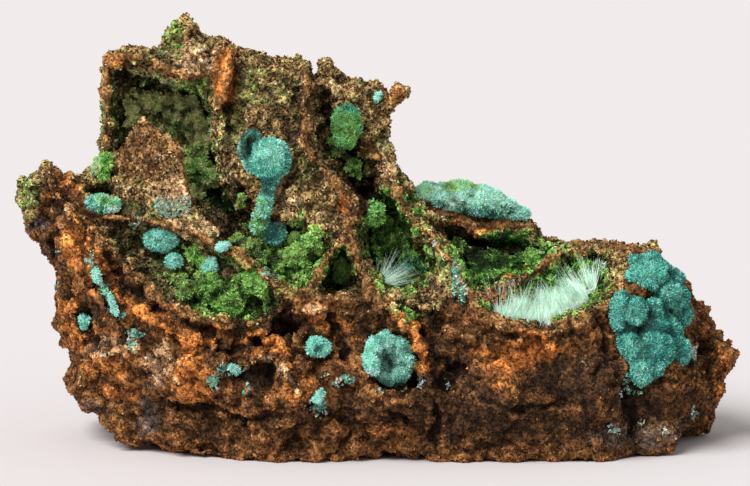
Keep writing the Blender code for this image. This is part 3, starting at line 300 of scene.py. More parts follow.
# Cracks and thin edges on the front: the ground, how far they stand out, half their width and their course.
LINES = [
    # The dark lines are painted shade in cracks that are pressed in as well.
    ("dark", -1.3, 0.8, [(-14.5, 25.8), (-15.8, 23.4), (-17.6, 21.2), (-19.6, 20)]),
    ("dark", -1, 0.6, [(-13.8, 21.6), (-14.2, 19.2), (-13.2, 17), (-12.6, 14.4)]),
    ("dark", -1.2, 0.7, [(8.6, 18.6), (9.4, 15.4), (9.5, 11), (10.2, 6.2), (9.8, 2.4)]),
    ("dark", -1, 0.6, [(-7.4, 24), (-5.6, 20.8), (-4.6, 17.4)]),
    ("dark", -1.1, 0.7, [(-28.6, 20.4), (-24.6, 18.6), (-21.6, 18.6), (-19.4, 20)]),
    ("dark", -0.9, 0.6, [(-50.4, 24.2), (-47.8, 20.4), (-45.2, 18.6)]),
    ("dark", -1, 0.7, [(-54, 36), (-53.2, 31.4), (-51.6, 27.4)]),
    ("dark", -0.8, 0.5, [(-45.4, 34.4), (-41.6, 29.6), (-37.6, 26), (-32.4, 23.6), (-28, 21.6)]),
    ("dark", -0.7, 0.4, [(-48.4, 34), (-45.6, 28.4), (-43, 23.6), (-41, 20)]),
    ("dark", -1.1, 0.8, [(40.4, 17), (41.4, 13), (42.4, 9), (43, 5)]),
    ("dark", -1, 0.6, [(7.8, 21.4), (10.6, 18.4), (13.4, 15.6), (17, 13.8)]),
    ("earth", 0.3, 0.9, [(17.2, 27), (21, 29), (25.4, 31.2), (28.4, 33.2), (31, 35)]),
    ("dark", -0.9, 0.7, [(38.4, 20.6), (39.4, 17.4), (36, 14.6)]),
    ("dark", -1, 0.6, [(-34, 9.4), (-30.6, 8), (-26.6, 8.8), (-22, 6.4), (-16, 7.2)]),
    ("dark", -0.8, 0.5, [(-12, 9.6), (-6, 7.4), (-1, 8.6), (5, 6.6)]),
    ("dark", -0.7, 0.5, [(18, 10.4), (24, 8.4), (31, 9.6)]),
    ("dark", -0.8, 0.6, [(46, 12.6), (50.6, 13.6), (54.6, 18), (56, 21)]),
    ("rust", 0.9, 0.7, [(3.8, 24), (6.2, 22), (8.2, 18.6), (8.4, 15.4)]),
    ("rust", 0.8, 0.6, [(-21.8, 20.8), (-18.4, 20.8), (-15.4, 18.8), (-14.4, 15.6), (-13.4, 12.6)]),
    # Painted highlight along the edge of the blade.
    ("pale", 0.25, 0.3, [(-38.5, 57.5), (-36.2, 55.8), (-33.9, 54.1)]),
    ("pale", 0.25, 0.25, [(-33.2, 52.6), (-31.6, 51.4)]),
    ("pale", 0.6, 0.5, [(-20.4, 16.8), (-17.6, 17), (-14.6, 14.6), (-13, 11.6)]),
    ("rust", 0.9, 0.8, [(-47.8, 33.6), (-43.6, 28.4), (-39.4, 24.6), (-33.6, 21.4), (-27.4, 19.8)]),
    ("earth", 0.7, 0.7, [(-26.6, 16.6), (-23.6, 15.8), (-20.4, 16.8)]),
    ("earth", 0.7, 0.6, [(-12.8, 24.8), (-7.2, 25), (-1.4, 24.4), (2.6, 25.2)]),
    ("earth", 0.7, 0.8, [(12, 22.4), (14.6, 20.8), (19, 20), (24, 20.4)]),
    ("earth", 0.6, 0.6, [(-49.6, 13.6), (-46.6, 10.4), (-42.6, 8.2), (-39.4, 8.4)]),
]

# Thin crusts of pale crystals on the rock: the ground, then across, up and the half sizes.
FLECKS = grouped([
    ("pale_rosasite", [
        (-47.1, 33.4, 0.3, 1), (-46.5, 30.6, 0.4, 1.3), (-45.2, 28.6, 0.4, 0.8), (-43.6, 26.2, 0.4, 1.2),
        (-42.2, 24.2, 0.3, 0.9), (-39.8, 21, 0.8, 0.7), (-40.7, 19, 0.4, 1), (-52.8, 29.6, 0.3, 0.5),
        (-52.6, 35, 0.4, 0.5), (-24.6, 15, 1.6, 0.6), (-26.9, 13.4, 0.5, 1), (-21.6, 12.4, 0.3, 0.9),
    ]),
    ("frost", [(-8.4, 14.7, 0.8, 0.5), (-5.8, 12.9, 0.9, 0.8)]),
    ("pale_rosasite", [(-4.4, 13.2, 0.8, 0.7), (-9.6, 9.8, 1, 1.2)]),
    ("frost", [(12, 12.8, 0.7, 0.4), (1.3, 11.6, 0.5, 0.4), (4.7, 11.8, 0.6, 0.4), (7.8, 13.1, 0.4, 0.7)]),
    ("pale_rosasite", [(3.2, 12.9, 0.7, 0.6), (42, 12, 0.5, 2.2)]),
    ("frost", [
        (43.7, 12, 0.4, 0.6), (52.8, 17.8, 0.6, 0.7), (34.6, 16.4, 0.3, 0.3), (40, 5, 0.7, 0.3),
        (45, 6.6, 0.8, 0.3), (49, 4.6, 0.7, 0.4), (53, 8, 0.3, 0.6),
    ]),
    ("mint", [(-35.6, 42.9, 2.2, 0.7), (-32.4, 42.4, 1.4, 0.8), (-46.4, 49.2, 1, 1.4)]),
    ("pale_rosasite", [(13.3, 30.6, 0.5, 2), (14.6, 28, 0.5, 1.6)]),
    ("frost", [(-22.6, 26, 0.5, 0.9), (10, 36.4, 0.3, 0.5)]),
    ("mint", [(-12.6, 35.4, 1.2, 1)]),
    ("frost", [(-48.2, 17.6, 0.5, 0.4), (-45.6, 17.4, 0.4, 0.3)]),
    ("mint", [(-17.8, 31.4, 1, 0.6), (-39.8, 39.6, 0.8, 0.4)]),
    ("frost", [(-16.4, 30.6, 0.4, 0.5)]),
], 1)

# Below this line, from left to right, the rock is broken; above it lies the druse.
BREAK_LINE = [
    (-62, 36), (-57, 40), (-54.6, 47), (-52.3, 41), (-46.7, 37), (-40.8, 31.5), (-35, 26), (-29.2, 23.6),
    (-22.5, 22.4), (-17.8, 23), (-15, 26), (-10.5, 27), (-0.5, 27), (1.6, 26), (5, 23), (9, 22.8), (13, 27),
    (17, 25.6), (19.2, 23), (25.8, 22), (30.8, 21.8), (35.6, 23.8), (41, 28), (44.6, 34.5), (62, 38),
]

# The crests of the thin walls, as they are seen, with their depth.
CRESTS = [
    [
        (-54.6, 49.4, -4), (-52.3, 43.6, -7), (-46.7, 38.2, -11), (-40.8, 32.3, -15), (-35, 26.4, -18),
        (-29.2, 24.1, -19.5), (-22.5, 22.9, -20.5), (-17.8, 23.6, -20), (-15, 26.4, -18.5),
        (-10.5, 27.1, -18),
    ],
    [
        (-48.2, 41.7, -4), (-39.3, 40.2, -8), (-32.8, 39.2, -10), (-26.8, 36.2, -12), (-20.8, 33, -14.5),
        (-15, 28.6, -17), (-10.6, 27.4, -18),
    ],
    [
        (-44.4, 66.4, 0), (-41.4, 67.6, -1), (-37.5, 66.2, -1), (-33.8, 64.8, -2), (-29.2, 63.8, -2),
        (-25.5, 64.8, -3),
    ],
    [(-44.8, 50.6, 3), (-44.9, 58, 2), (-44.6, 66, 1)],
    [(-22.8, 68.8, -3), (-24.2, 66.4, -5), (-25, 63, -6), (-25.6, 59.6, -6)],
    [
        (-12.2, 66, -3), (-10.9, 63.2, -5), (-11, 60.2, -7), (-11.8, 55.6, -8), (-11.4, 52.2, -9),
        (-7.5, 47.8, -11), (-5.6, 44.8, -12), (-2.6, 42, -13), (-4.2, 39.8, -13.5), (-5.2, 37.6, -14),
        (-8.4, 33.2, -16), (-11.2, 28.8, -18), (-12.6, 26.8, -19),
    ],
    [(-4.8, 39, -13.5), (-3.7, 35.2, -15), (-2.2, 31, -16.5), (-0.5, 27.3, -18)],
    [(-12, 27, -18.5), (-5.8, 27.4, -19), (-0.5, 27.3, -19), (1.6, 26.2, -18.5)],
    [
        (-1, 52, 1), (1.2, 49.6, -2), (3.7, 44.7, -5), (6.2, 40.3, -8), (10.2, 36.2, -11),
        (12.7, 33.3, -13), (14.8, 28.7, -16), (17.3, 26.2, -18), (19.2, 23.6, -19),
    ],
    [
        (6, 43.8, 9), (9.2, 41.5, 11), (17.5, 38.9, 12.5), (26.5, 37.2, 12.5), (31, 36.3, 11),
        (37.5, 36.6, 7), (41, 36.3, 3), (44.6, 35.3, -1),
    ],
    [
        (16.4, 26.4, -14), (18.6, 27.2, -14), (22.4, 29.2, -13), (25.9, 31.2, -10), (28.5, 33.4, -6),
        (30.8, 34.9, -2), (34.8, 35.8, 3),
    ],
    [
        (44.6, 35, -3), (42.6, 31.8, -7), (41, 28.4, -11), (38.9, 25.8, -14), (35.6, 24.2, -16.5),
        (33, 23.6, -17.5), (30.8, 22.2, -18.5), (28.3, 20.9, -19.5), (25.8, 22.4, -19.5),
        (22.6, 22.6, -19.5), (19.2, 23.2, -19),
    ],
    [
        (-38.9, 57.8, 0), (-34, 53.9, -1), (-31.4, 51.2, -2), (-31.2, 45.4, -4), (-28.2, 41.4, -6),
        (-23.4, 36.2, -10), (-20.9, 33, -13),
    ],
    [(4, 46.2, 7), (6.6, 44.2, 6.5), (9.6, 42.1, 7), (15.8, 40.9, 8), (21.5, 40.4, 9), (26.4, 40.2, 10)],
]

# Each rosasite piece: the nodes that it stands for, its ground, and patches of other ones.
ROSASITE = {
    "central_ball": (["rosasite_ball_and_stalk", "rosasite_ball_and_stalk_2"], "rosasite", [
        ("pale_rosasite", -17.2, 51.2, 2.2, 1.6, 0.8), ("pale_rosasite", -21.8, 52.2, 1, 3.4, 0.9),
        ("jade", -18.8, 42.6, 1.2, 1.4, 0.9), ("jade", -19.6, 38.8, 1, 3, 0.95),
        ("deep_rosasite", -17, 38.2, 1.8, 2.6, 0.9), ("deep_rosasite", -17.6, 45.8, 2, 1.8, 0.7),
        ("jade", -18.4, 41, 1.6, 1, 0.7), ("khaki", -20.9, 41.4, 0.9, 3.6, 0.95),
        ("druse", -15.9, 42, 0.9, 2.4, 0.95), ("moss", -19, 39.2, 1.2, 1.8, 0.7),
        ("deep_rosasite", -14.2, 50.4, 0.9, 2.6, 0.5),
    ]),
    "left_ball": (["rosasite_ball_left_large"], "rosasite", []),
    "round_ball": (["rosasite_ball_left_round"], "rosasite", [("jade", -33.5, 31.4, 2.4, 0.8, 0.7)]),
    "pale_ball": (["rosasite_ball_left_pale"], "pale_rosasite", []),
    "upper_ball": (["rosasite_ball_left_upper"], "pale_rosasite", [("jade", -26, 36.6, 1, 0.6, 0.6)]),
    "shoulder_ball": (["rosasite_shoulder_crust"], "jade", [
        ("deep_rosasite", -47.2, 42.6, 1.4, 1.5, 0.9), ("moss", -44.4, 43.6, 2.4, 0.9, 0.8),
        ("mint", -43.2, 41.9, 1.8, 0.9, 0.95),
    ]),
    "front_ball": (["rosasite_ball_front"], "rosasite", [("pale_rosasite", 2, 16.8, 4.6, 4.2, 0.95)]),
    "small_front_ball": (["rosasite_ball_front_small"], "rosasite", []),
    "drape": (["rosasite_drape"], "deep_rosasite", [
        ("rosasite", 46, 31, 3.4, 3, 0.8), ("rosasite", 50.2, 26.4, 1.4, 3.6, 0.9),
        ("rosasite", 40.6, 25, 1.4, 3, 0.8), ("rosasite", 43.4, 24.4, 1.8, 2.2, 0.7),
        ("rosasite", 43, 18, 2.2, 3, 0.7), ("pale_rosasite", 44.6, 14.4, 1.2, 1.6, 0.6),
    ]),
    "upper_speck": (["rosasite_speck_upper"], "rosasite", []),
    "pocket_ball": (["rosasite_side_pocket_ball"], "rosasite", []),
    "left_vein": (["rosasite_vein_left"], "pale_rosasite", [("jade", -45, 28, 1, 1.4, 0.5)]),
    "recess_flake": (["rosasite_flake_recess"], "pale_rosasite", []),
    "low_flake": (["rosasite_flake_low"], "pale_rosasite", []),
    "ridge_cluster": (["rosasite_ridge_cluster"], "pale_rosasite", [
        ("powder", 16, 44, 9.5, 2.8, 1), ("bright_moss", 14.4, 45.9, 3, 1, 0.85),
        ("bright_moss", 8, 45.3, 1.6, 1.1, 0.8), ("deep_rosasite", 17.6, 41.3, 4.4, 1.1, 0.85),
        ("deep_rosasite", 10.4, 42.6, 1.4, 0.8, 0.6), ("pale_rosasite", 24.6, 41.6, 2.6, 0.8, 0.7),
        ("shade", 21.8, 41.7, 1.5, 0.9, 0.8), ("mint", 12.9, 42.8, 0.7, 0.8, 0.9),
    ]),
}

# Each conichalcite piece in the same way, with the length of its crystals.
# Their shade and dark patches are painted shade, as under the top beam of the upper chamber and on the back
# of the right basin.
CONICHALCITE = {
    "upper_ball_moss": (["conichalcite_ball_upper"], "jade", [
        ("moss", -4.6, 54, 3.4, 4.2, 0.8), ("deep_rosasite", -4.2, 59.2, 1.8, 1.2, 0.8),
    ], 0.4),
    "left_tuft": (["conichalcite_tuft_left"], "moss", [("mint", -46.8, 49.8, 0.9, 2, 0.9)], 0.7),
    "basin_moss": (["conichalcite_crust_left_basin", "conichalcite_crust_left_basin_2"], "moss", [
        ("khaki", -32.4, 30.4, 3.6, 3.6, 0.6), ("shade", -24.5, 32.4, 3, 1.2, 0.5),
    ], 0.5),
    # The chamber's grey_green ground is partly painted light, lighter than the crust to lift the overhang's
    # shadow.
    "chamber_moss": (["conichalcite_crust_upper_chamber"], "grey_green", [
        ("moss", -29.4, 48.6, 3, 3.6, 0.85), ("dark", -33, 61.6, 5, 0.8, 0.6),
        ("moss", -33.8, 55, 3, 1.4, 0.4),
    ], 0.4),
    "hollow_moss": (["conichalcite_crust_central"], "bright_moss", [
        ("khaki", -19.6, 35.4, 4.4, 3.4, 0.85), ("shade", -18.4, 33.4, 2.4, 1.8, 0.7),
        ("jade", -11.2, 37.6, 1.4, 1, 0.5),
    ], 0.45),
    "column_moss": (["conichalcite_column_lobe"], "bright_moss", [
        ("druse", -22.4, 42.4, 2, 1.2, 0.7),
    ], 0.4),
    "crevice_moss": (["conichalcite_crust_crevice"], "moss", [("khaki", -6, 51.4, 2, 3, 0.8)], 0.4),
    "middle_moss": (["conichalcite_crust_middle", "conichalcite_crust_middle_2"], "moss", [
        ("bright_moss", 1.5, 39, 3, 4, 0.35), ("jade", -0.4, 41.4, 1.6, 2.4, 0.7),
        ("shade", -0.6, 35, 1.6, 4, 0.35), ("teal_floor", 6, 32.2, 2.6, 2, 0.8),
    ], 0.6),
    "triangle_moss": (["conichalcite_crust_triangle"], "bright_moss", [
        ("khaki", -3.8, 35, 2, 2, 0.7),
    ], 0.9),
    "lower_moss": (["conichalcite_crust_lower_cell"], "moss", [], 0.5),
    "right_basin_moss": (["conichalcite_crust_right_basin"], "shade", [
        ("dark", 16.6, 35.6, 5.4, 2, 0.5), ("moss", 12.4, 34.2, 2.6, 2.8, 0.9),
        ("moss", 20.4, 30.4, 6, 1.7, 0.9), ("moss", 26.4, 33.4, 2.4, 2.2, 0.9),
        ("bright_moss", 26.6, 33.8, 1.6, 1.4, 0.6), ("mint", 28.2, 34.8, 1, 0.6, 0.8),
    ], 0.5),
    "needle_cell_moss": (["conichalcite_crust_needle_cell", "conichalcite_crust_needle_cell_2"], "moss", [
        ("mint", 37.6, 32.8, 1.4, 1.8, 0.8), ("shade", 33.4, 30.6, 3, 1.2, 0.4),
    ], 1.3),
    "needle_side_moss": (["conichalcite_crust_needle_side"], "moss", [], 0.9),
}

# Rounded lobes that swell out of a piece: across, up, the half sizes and how far they swell. Those below 0
# are dents.
LOBES = {
    "drape": [
        (46, 31.6, 3, 2.6, 1.5), (49.8, 30.2, 1.6, 1.5, 0.9), (49.6, 26.8, 2.3, 3.2, 1.6),
        (51.6, 24.4, 1.2, 1.6, 1.2), (40.7, 24.8, 1.4, 3, 1.2), (43.4, 24.9, 1.7, 2.3, 1.4),
        (47.8, 19.6, 3.7, 5.4, 1), (51.4, 18.4, 1.5, 2.4, 0.8), (42.6, 18.4, 2.3, 2.6, 1.5),
        (44.8, 15.2, 1.5, 2.4, 1.4), (46.6, 26, 1.3, 1.6, 0.8),
    ],
    "ridge_cluster": [
        (8.6, 44.7, 2, 1.3, 0.9), (11.2, 43.2, 1.9, 1.4, 0.8), (14.2, 44.9, 2.6, 1.6, 0.9),
        (18, 43.4, 3.2, 2.3, 1.1), (21.8, 42.2, 2.1, 1.4, 0.8), (24.6, 41.1, 1.8, 1, 0.6),
        (12.9, 42.7, 0.6, 0.7, 1.3),
    ],
    "front_ball": [
        (4.9, 16.8, 1.5, 1.6, 0.9), (4.1, 19, 1.5, 1.5, 0.8), (2, 19.9, 1.4, 1.4, 0.9),
        (-0.1, 19, 1.4, 1.5, 0.8), (-0.9, 16.9, 1.5, 1.5, 0.9), (-0.2, 14.7, 1.4, 1.5, 0.8),
        (2.2, 13.8, 1.5, 1.3, 0.9), (4.3, 14.8, 1.4, 1.4, 0.8), (1.4, 16.3, 0.9, 0.7, 0.7),
        (2.7, 17.6, 0.6, 0.6, 0.5), (2.2, 16.8, 1.4, 1.2, -0.9),
    ],
    "small_front_ball": [
        (-9.6, 20.1, 1.9, 0.9, 0.5), (-10.9, 18.6, 0.8, 1.2, 0.4), (-8.4, 18.8, 0.9, 1.2, 0.4),
        (-9.6, 18.4, 1, 0.6, -0.6),
    ],
    "shoulder_ball": [(-45.4, 42.3, 1.5, 1.9, 1.6), (-45.4, 42.4, 3.6, 2, 0.5)],
    "central_ball": [
        (-21.1, 52.4, 0.8, 2.2, -5), (-20.4, 53.6, 1, 1, -3), (-18.4, 43.6, 1.8, 1.4, 0.7),
        (-18.8, 41, 1.8, 1.8, 0.9), (-17, 38, 2.2, 1.9, 1.3), (-19.4, 38.8, 1.4, 1.8, 1.1),
    ],
    "left_tuft": [(-45, 49.2, 1.8, 2.6, 1)],
    "pocket_ball": [(-48.8, 22, 0.9, 1.2, 0.5), (-46.9, 21.4, 1.1, 1.2, 0.6), (-47.6, 23.4, 1.1, 0.7, 0.4)],
    "left_ball": [(-35.4, 37.4, 2.9, 2.3, 1.1)],
    "pale_ball": [(-27.7, 32.7, 1.6, 1.7, 0.8)],
    "basin_moss": [
        (-24, 26.2, 2.6, 2.2, 1.4), (-20.3, 29.4, 2.4, 2.6, 1.4), (-27.8, 30.2, 2.4, 2.2, 1.2),
        (-22.6, 30.2, 1.6, 1.4, 0.8), (-29.6, 34.6, 2, 1.8, 1), (-31.4, 28.6, 1.8, 1.6, 0.8),
        (-26.2, 33, 1.6, 1.4, 0.9), (-19.4, 26, 1.6, 1.4, 1),
    ],
    "middle_moss": [
        (0.2, 41.2, 1.8, 2, 1.2), (1.6, 37, 2.2, 2.2, 1.4), (3.8, 34, 1.6, 1.6, 0.8), (0, 32, 2, 2, 0.8),
    ],
    "right_basin_moss": [
        (11.6, 35.6, 1.6, 1.6, 1.2), (14, 34.6, 1.5, 1.4, 1.1), (11.4, 32.6, 1.2, 1.4, 0.7),
        (26.4, 33.6, 2, 2, 1.3), (18, 30.4, 2.2, 1.2, 0.9), (21.4, 30.8, 1.8, 1.2, 0.9),
        (24, 31.2, 1.4, 1.2, 0.8), (14.8, 30, 1.4, 1.2, 0.7),
    ],
    "triangle_moss": [(-4.6, 31, 2, 2.6, 1.4), (-2.8, 33.6, 1.4, 1.8, 1)],
    "hollow_moss": [
        (-9.8, 36.6, 1.8, 2.2, 1.1), (-13, 34.4, 2, 2, 1.1), (-10.4, 32.2, 1.8, 1.8, 1),
        (-15.6, 32.2, 1.8, 1.4, 0.8), (-20.4, 36.4, 2.2, 1.6, 1), (-12.6, 38.8, 1.2, 1, 0.7),
    ],
    "chamber_moss": [
        (-37, 60, 2.4, 1.6, 1.2), (-33.4, 58.6, 2.6, 2, 1.4), (-30, 56.6, 2.4, 2, 1.3),
        (-34.6, 54.6, 2, 1.6, 1), (-28.2, 53, 2.2, 1.8, 1.2), (-30, 48.6, 2, 2.2, 1.3),
        (-27.4, 47.4, 1.6, 1.8, 1.1), (-29.4, 44.4, 1.6, 1.4, 1), (-40, 58, 1.8, 2, 1),
    ],
}

# Thin horns that stand beside a piece: their course in across and up, their depth and their radius.
HORNS = {
    "central_ball": ([
        (-20.4, 47.8), (-21.8, 49.6), (-22.4, 51.6), (-22.1, 53.4), (-21, 54.6), (-19.4, 54.5),
    ], -9.4, 0.85),
}

# Needles that fan out: the node that carries them, how far they are shifted along X, Y and Z, the ground of
# their foot, the layers of needles (how many, the shortest, the longest and the radius), whether they all
# start at the roots, and the roots: across, up, depth and the lowest and highest direction of the needles,
# as angles above the right.
SPRAYS = {
    "large_spray": ("aurichalcite_spray_right", (-0.9, -0.6, -1.4), "needle", [
        (6500, 1, 3.2, 0.065), (2100, 3, 6, 0.085), (420, 5.5, 9.5, 0.1),
    ], False, [
        (21.2, 21.6, -15, 60, 150), (24.6, 20.2, -13, 55, 140), (28.2, 18.8, -12, 45, 130),
        (32.4, 20, -11, 30, 120), (36.4, 23, -8, 20, 110), (38, 25.6, -6, 40, 115),
    ]),
    "small_spray": ("aurichalcite_spray_middle", (0, 0, 0), "teal_floor", [(150, 4, 9.4, 0.06)], True, [
        (0.8, 29.6, -5.6, 14, 84), (1.4, 29.2, -5.4, 8, 50),
    ]),
}


def linear(name):
    """The colour of this name in the settings as light, from its look on a screen."""
    shares = np.array(getattr(bpy.context.scene.specimen, name))
    curved = ((shares + SCREEN_SHIFT) / (1 + SCREEN_SHIFT)) ** SCREEN_POWER
    return np.where(shares <= SCREEN_KNEE, shares / SCREEN_SLOPE, curved)


def seen(across, up, deep):
    """The point that shows at across and up from the front and lies deep behind the middle, in metres."""
    spread = 1 + deep / VIEW_DISTANCE
    drop = (deep - FOOT_DEPTH) * math.sin(VIEW_TILT)
    height = ((up - EYE_HEIGHT) * spread + EYE_HEIGHT - drop) / math.cos(VIEW_TILT)
    return Vector((across * spread - MIDDLE[0], deep - MIDDLE[1], height)) * MM


def as_seen(points):
    """Across, up and deep of each point: the reverse of seen."""
    x, y, z = (points / MM).T
    deep = y + MIDDLE[1]
    spread = 1 + deep / VIEW_DISTANCE
    height = z * math.cos(VIEW_TILT) + (deep - FOOT_DEPTH) * math.sin(VIEW_TILT)
    return (x + MIDDLE[0]) / spread, (height - EYE_HEIGHT) / spread + EYE_HEIGHT, deep


def eased(share):
    """A share from 0 to 1 that starts and ends softly."""
    share = np.clip(share, 0, 1)
    return share * share * (3 - 2 * share)


def uneven(points, scale, seed=0.0, octaves=2):
    """Smooth noise at the points, about -1 to 1, that changes over scale millimetres."""
    offset = Vector((seed, 2 * seed, -seed))
    step = 1 / (scale * MM)
    return np.array([noise.fractal(Vector(p) * step + offset, 1.0, 2.0, octaves) for p in points])


def patch_weights(points, patches, ragged=0.5, drift=PATCH_DRIFT):
    """How strongly each patch covers each point, with a ragged edge that wanders by drift."""
    across, up, deep = as_seen(points)
    across = across + drift * uneven(points, 7.0, 1.0) + 0.3 * drift * uneven(points, 1.5, 8.0)
    up = up + drift * uneven(points, 7.0, 2.0)
    wobble = ragged * uneven(points, 2.0, 5.0, 3)
    weights = []
    for _, a, u, half_across, half_up, strength, *begins in patches:
        reach = np.hypot((across - a) / half_across, (up - u) / half_up)
        weight = strength * eased((1.25 - reach + wobble) / 0.5)
        if begins:
            weight = weight * eased((deep - begins[0]) / 1.5)
        weights.append(weight)
    return np.array(weights).reshape(len(patches), len(points))


def lobes_on(name, points):
    """How far a piece's lobes swell at each point, how near it is to a rim, and how far it is dented."""
    across, up, _ = as_seen(points)
    across = across + 0.5 * uneven(points, 2.5, 11.0)
    up = up + 0.5 * uneven(points, 2.5, 12.0)
    swell, rim, dent = np.zeros((3, len(points)))
    for a, u, half_across, half_up, height in LOBES.get(name, []):
        reach = np.hypot((across - a) / half_across, (up - u) / half_up)
        own = height * np.sqrt(np.clip(1 - reach ** 2, 0, 1))
        if height < 0:
            dent = dent - own
            continue
        rim = np.where(own > swell, eased((reach - 0.5) / 0.4), rim)
        swell = np.maximum(swell, own)
    return swell, rim, dent


def off_line(points, line):
    """How far each point is from the line through these places, at most FAR."""
    nearest = np.full(len(points), FAR)
    for a, b in zip(line, line[1:]):
        along = b - a
        share = np.clip((points - a) @ along / (along @ along), 0, 1)
        nearest = np.minimum(nearest, np.linalg.norm(points - a - share[:, None] * along, axis=1))
    return nearest


def line_covers(points, lines):
    """How strongly each of these cracks or edges covers each point, 1 in its middle."""
    across, up, deep = as_seen(points)
    across = across + 0.9 * uneven(points, 2.2, 15.0, 3)
    up = up + 0.9 * uneven(points, 2.2, 16.0, 3)
    spots = np.column_stack([across, up])
    return np.array([eased(1.4 - off_line(spots, np.array(course)) / width) * (deep < 0)
                     for _, _, width, course in lines])


def layers(points):
    """The thin layers where they show, about -1 to 1, and 0 elsewhere."""
    across, up, deep = as_seen(points)
    cover = patch_weights(points, LAYERED, 0.2).max(axis=0) * eased((6 - deep) / 4)
    course = np.column_stack([(0.8 * across + 0.6 * up) / 1.1, (0.6 * across - 0.8 * up) / 14, deep / 14])
    return 2 * cover * uneven(course * MM, 1.0, 7.0, 3)


def crest_nearness(points):
    """1 on the crest of a thin wall, 0 from a short way off."""
    courses = [np.array([seen(*one) for one in crest]) / MM for crest in CRESTS]
    nearest = np.min([off_line(points / MM, course) for course in courses], axis=0)
    return eased((CREST_REACH - nearest) / CREST_FADE)


def druse_share(points):
    """1 where the rock is lined with druse, 0 where it is broken."""
    across, up, deep = as_seen(points)
    line = np.array(BREAK_LINE)
    above = up - np.interp(across, line[:, 0], line[:, 1])
    front = eased((DRUSE_DEPTH - deep) / DRUSE_FADE)
    bare = patch_weights(points, BARE, *BARE_SPREAD).max(axis=0)
    return eased((above + 0.5) / 1.6) * front * (1 - crest_nearness(points)) * (1 - bare)


def cover(grounds, kind, weight):
    """Lays this kind of ground over the others, as strongly as the weight says at each point."""
    for other in grounds:
        grounds[other] = grounds[other] * (1 - weight)
    grounds[kind] = grounds.get(kind, 0) + weight


def rock_grounds(points):
    """The weight of each kind of ground at each point of the rock."""
    druse, crest = druse_share(points), crest_nearness(points)
    grounds = {"druse": druse, "earth": (1 - druse) * crest, "broken": (1 - druse) * (1 - crest)}
    depth = as_seen(points)[2]
    lines = [("earth", 0, 0.5, [spot[:2] for spot in course]) for course in CRESTS] + LINES
    kinds = [one[0] for one in ROCK_PATCHES + BARE + lines]
    weights = [*patch_weights(points, ROCK_PATCHES), *patch_weights(points, BARE, *BARE_SPREAD)]
    weights += [0.9 * weight for weight in line_covers(points, lines)]
    for kind, weight in zip(kinds, weights):
        weight = weight * (depth < LAST_DEPTH)
        if kind in GROWN_AND_SHADE_GROUNDS:
            weight = weight * (0.1 + 0.9 * druse)
        cover(grounds, kind, weight)
    return grounds


def own_grounds(base, patches, highlight_ground, sunk):
    """A function that gives the weight of each kind of ground on a piece of crystals, with a paler ground as
    painted highlight where it stands out and a deeper one as painted shade in its hollows.
    """
    def weigh(points, stands):
        """The weights at these points, where stands says how far each stands out of its surroundings."""
        grounds = {base: np.ones(len(points))}
        kinds = [patch[0] for patch in patches] + [highlight_ground, sunk]
        weights = [*patch_weights(points, patches, 0.4, 0.4)]
        # Painted highlight: the paler ground where the surface stands out; painted shade: the sunk ground in
        # its hollows.
        weights += [0.5 * eased((stands - 0.6) / 1.2), 0.6 * eased((-stands - 0.5) / 1.2)]
        for kind, weight in zip(kinds, weights):
            cover(grounds, kind, weight)
        return grounds
    return weigh


def picked_colours(grounds, rng):
    """One colour for each point, picked by chance from the mixtures of its grounds."""
    names = sorted({name for mixture in MIXTURES.values() for name in mixture})
    shares = 0
    for kind, weight in grounds.items():
        mixture = np.array([MIXTURES[kind].get(name, 0.0) for name in names])
        shares = shares + np.asarray(weight)[:, None] * mixture
    limits = np.cumsum(shares, axis=1) / shares.sum(axis=1, keepdims=True)
    picks = (rng.random((len(limits), 1)) > limits).sum(axis=1)
    return np.array([linear(name) for name in names])[np.minimum(picks, len(names) - 1)]


def mean_colours(grounds):
    """The mean colour of each point's grounds."""
    total = 0
    whole = 0
    for kind, weight in grounds.items():
        mixture = sum(share * linear(name) for name, share in MIXTURES[kind].items())
        total = total + np.asarray(weight)[:, None] * mixture / sum(MIXTURES[kind].values())
        whole = whole + np.asarray(weight)[:, None]
    return total / whole


def select_only(piece):
    """Selects this piece alone and makes it the active one."""
    for other in bpy.context.selected_objects:
        other.select_set(False)
    piece.select_set(True)
    bpy.context.view_layer.objects.active = piece


def apply(piece, name, kind, **settings):
    """Adds a modifier to the piece and applies it."""
    select_only(piece)
    modifier = piece.modifiers.new(name, kind)
    for key, value in settings.items():
        setattr(modifier, key, value)
    bpy.ops.object.modifier_apply(modifier=modifier.name)


def displace(piece, name, pattern, size, height, middle=0.5, group="", metric=None):
    """Moves the surface in and out by a pattern of this size."""
    texture = bpy.data.textures.new(name, pattern)
    texture.noise_scale = size * MM
    if metric:
        texture.distance_metric = metric
    apply(piece, name, "DISPLACE", texture=texture, texture_coords="LOCAL", strength=height * MM,
          mid_level=middle, vertex_group=group)


def copy_of(nodes, name):
    """A piece with the merged meshes of these nodes."""
    select_only(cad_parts[nodes[0]])
    for node in nodes[1:]:
        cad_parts[node].select_set(True)
    bpy.ops.object.duplicate()
    copies = list(bpy.context.selected_objects)
    bpy.context.view_layer.objects.active = copies[0]
    if len(copies) > 1:
        bpy.ops.object.join()
    piece = bpy.context.view_layer.objects.active
    world = piece.matrix_world.copy()
    piece.parent = None
    piece.matrix_world = world
    piece.name = piece.data.name = name
    piece.data.materials.clear()
    select_only(piece)
    bpy.ops.object.mode_set(mode="EDIT")
    bpy.ops.mesh.select_all(action="SELECT")
    bpy.ops.mesh.remove_doubles(threshold=0.01 * MM)
    bpy.ops.object.mode_set(mode="OBJECT")
    return piece


def places(piece):
    """The place of each of the piece's points."""
    found = np.empty(len(piece.data.vertices) * 3)
    piece.data.vertices.foreach_get("co", found)
    return found.reshape(-1, 3)


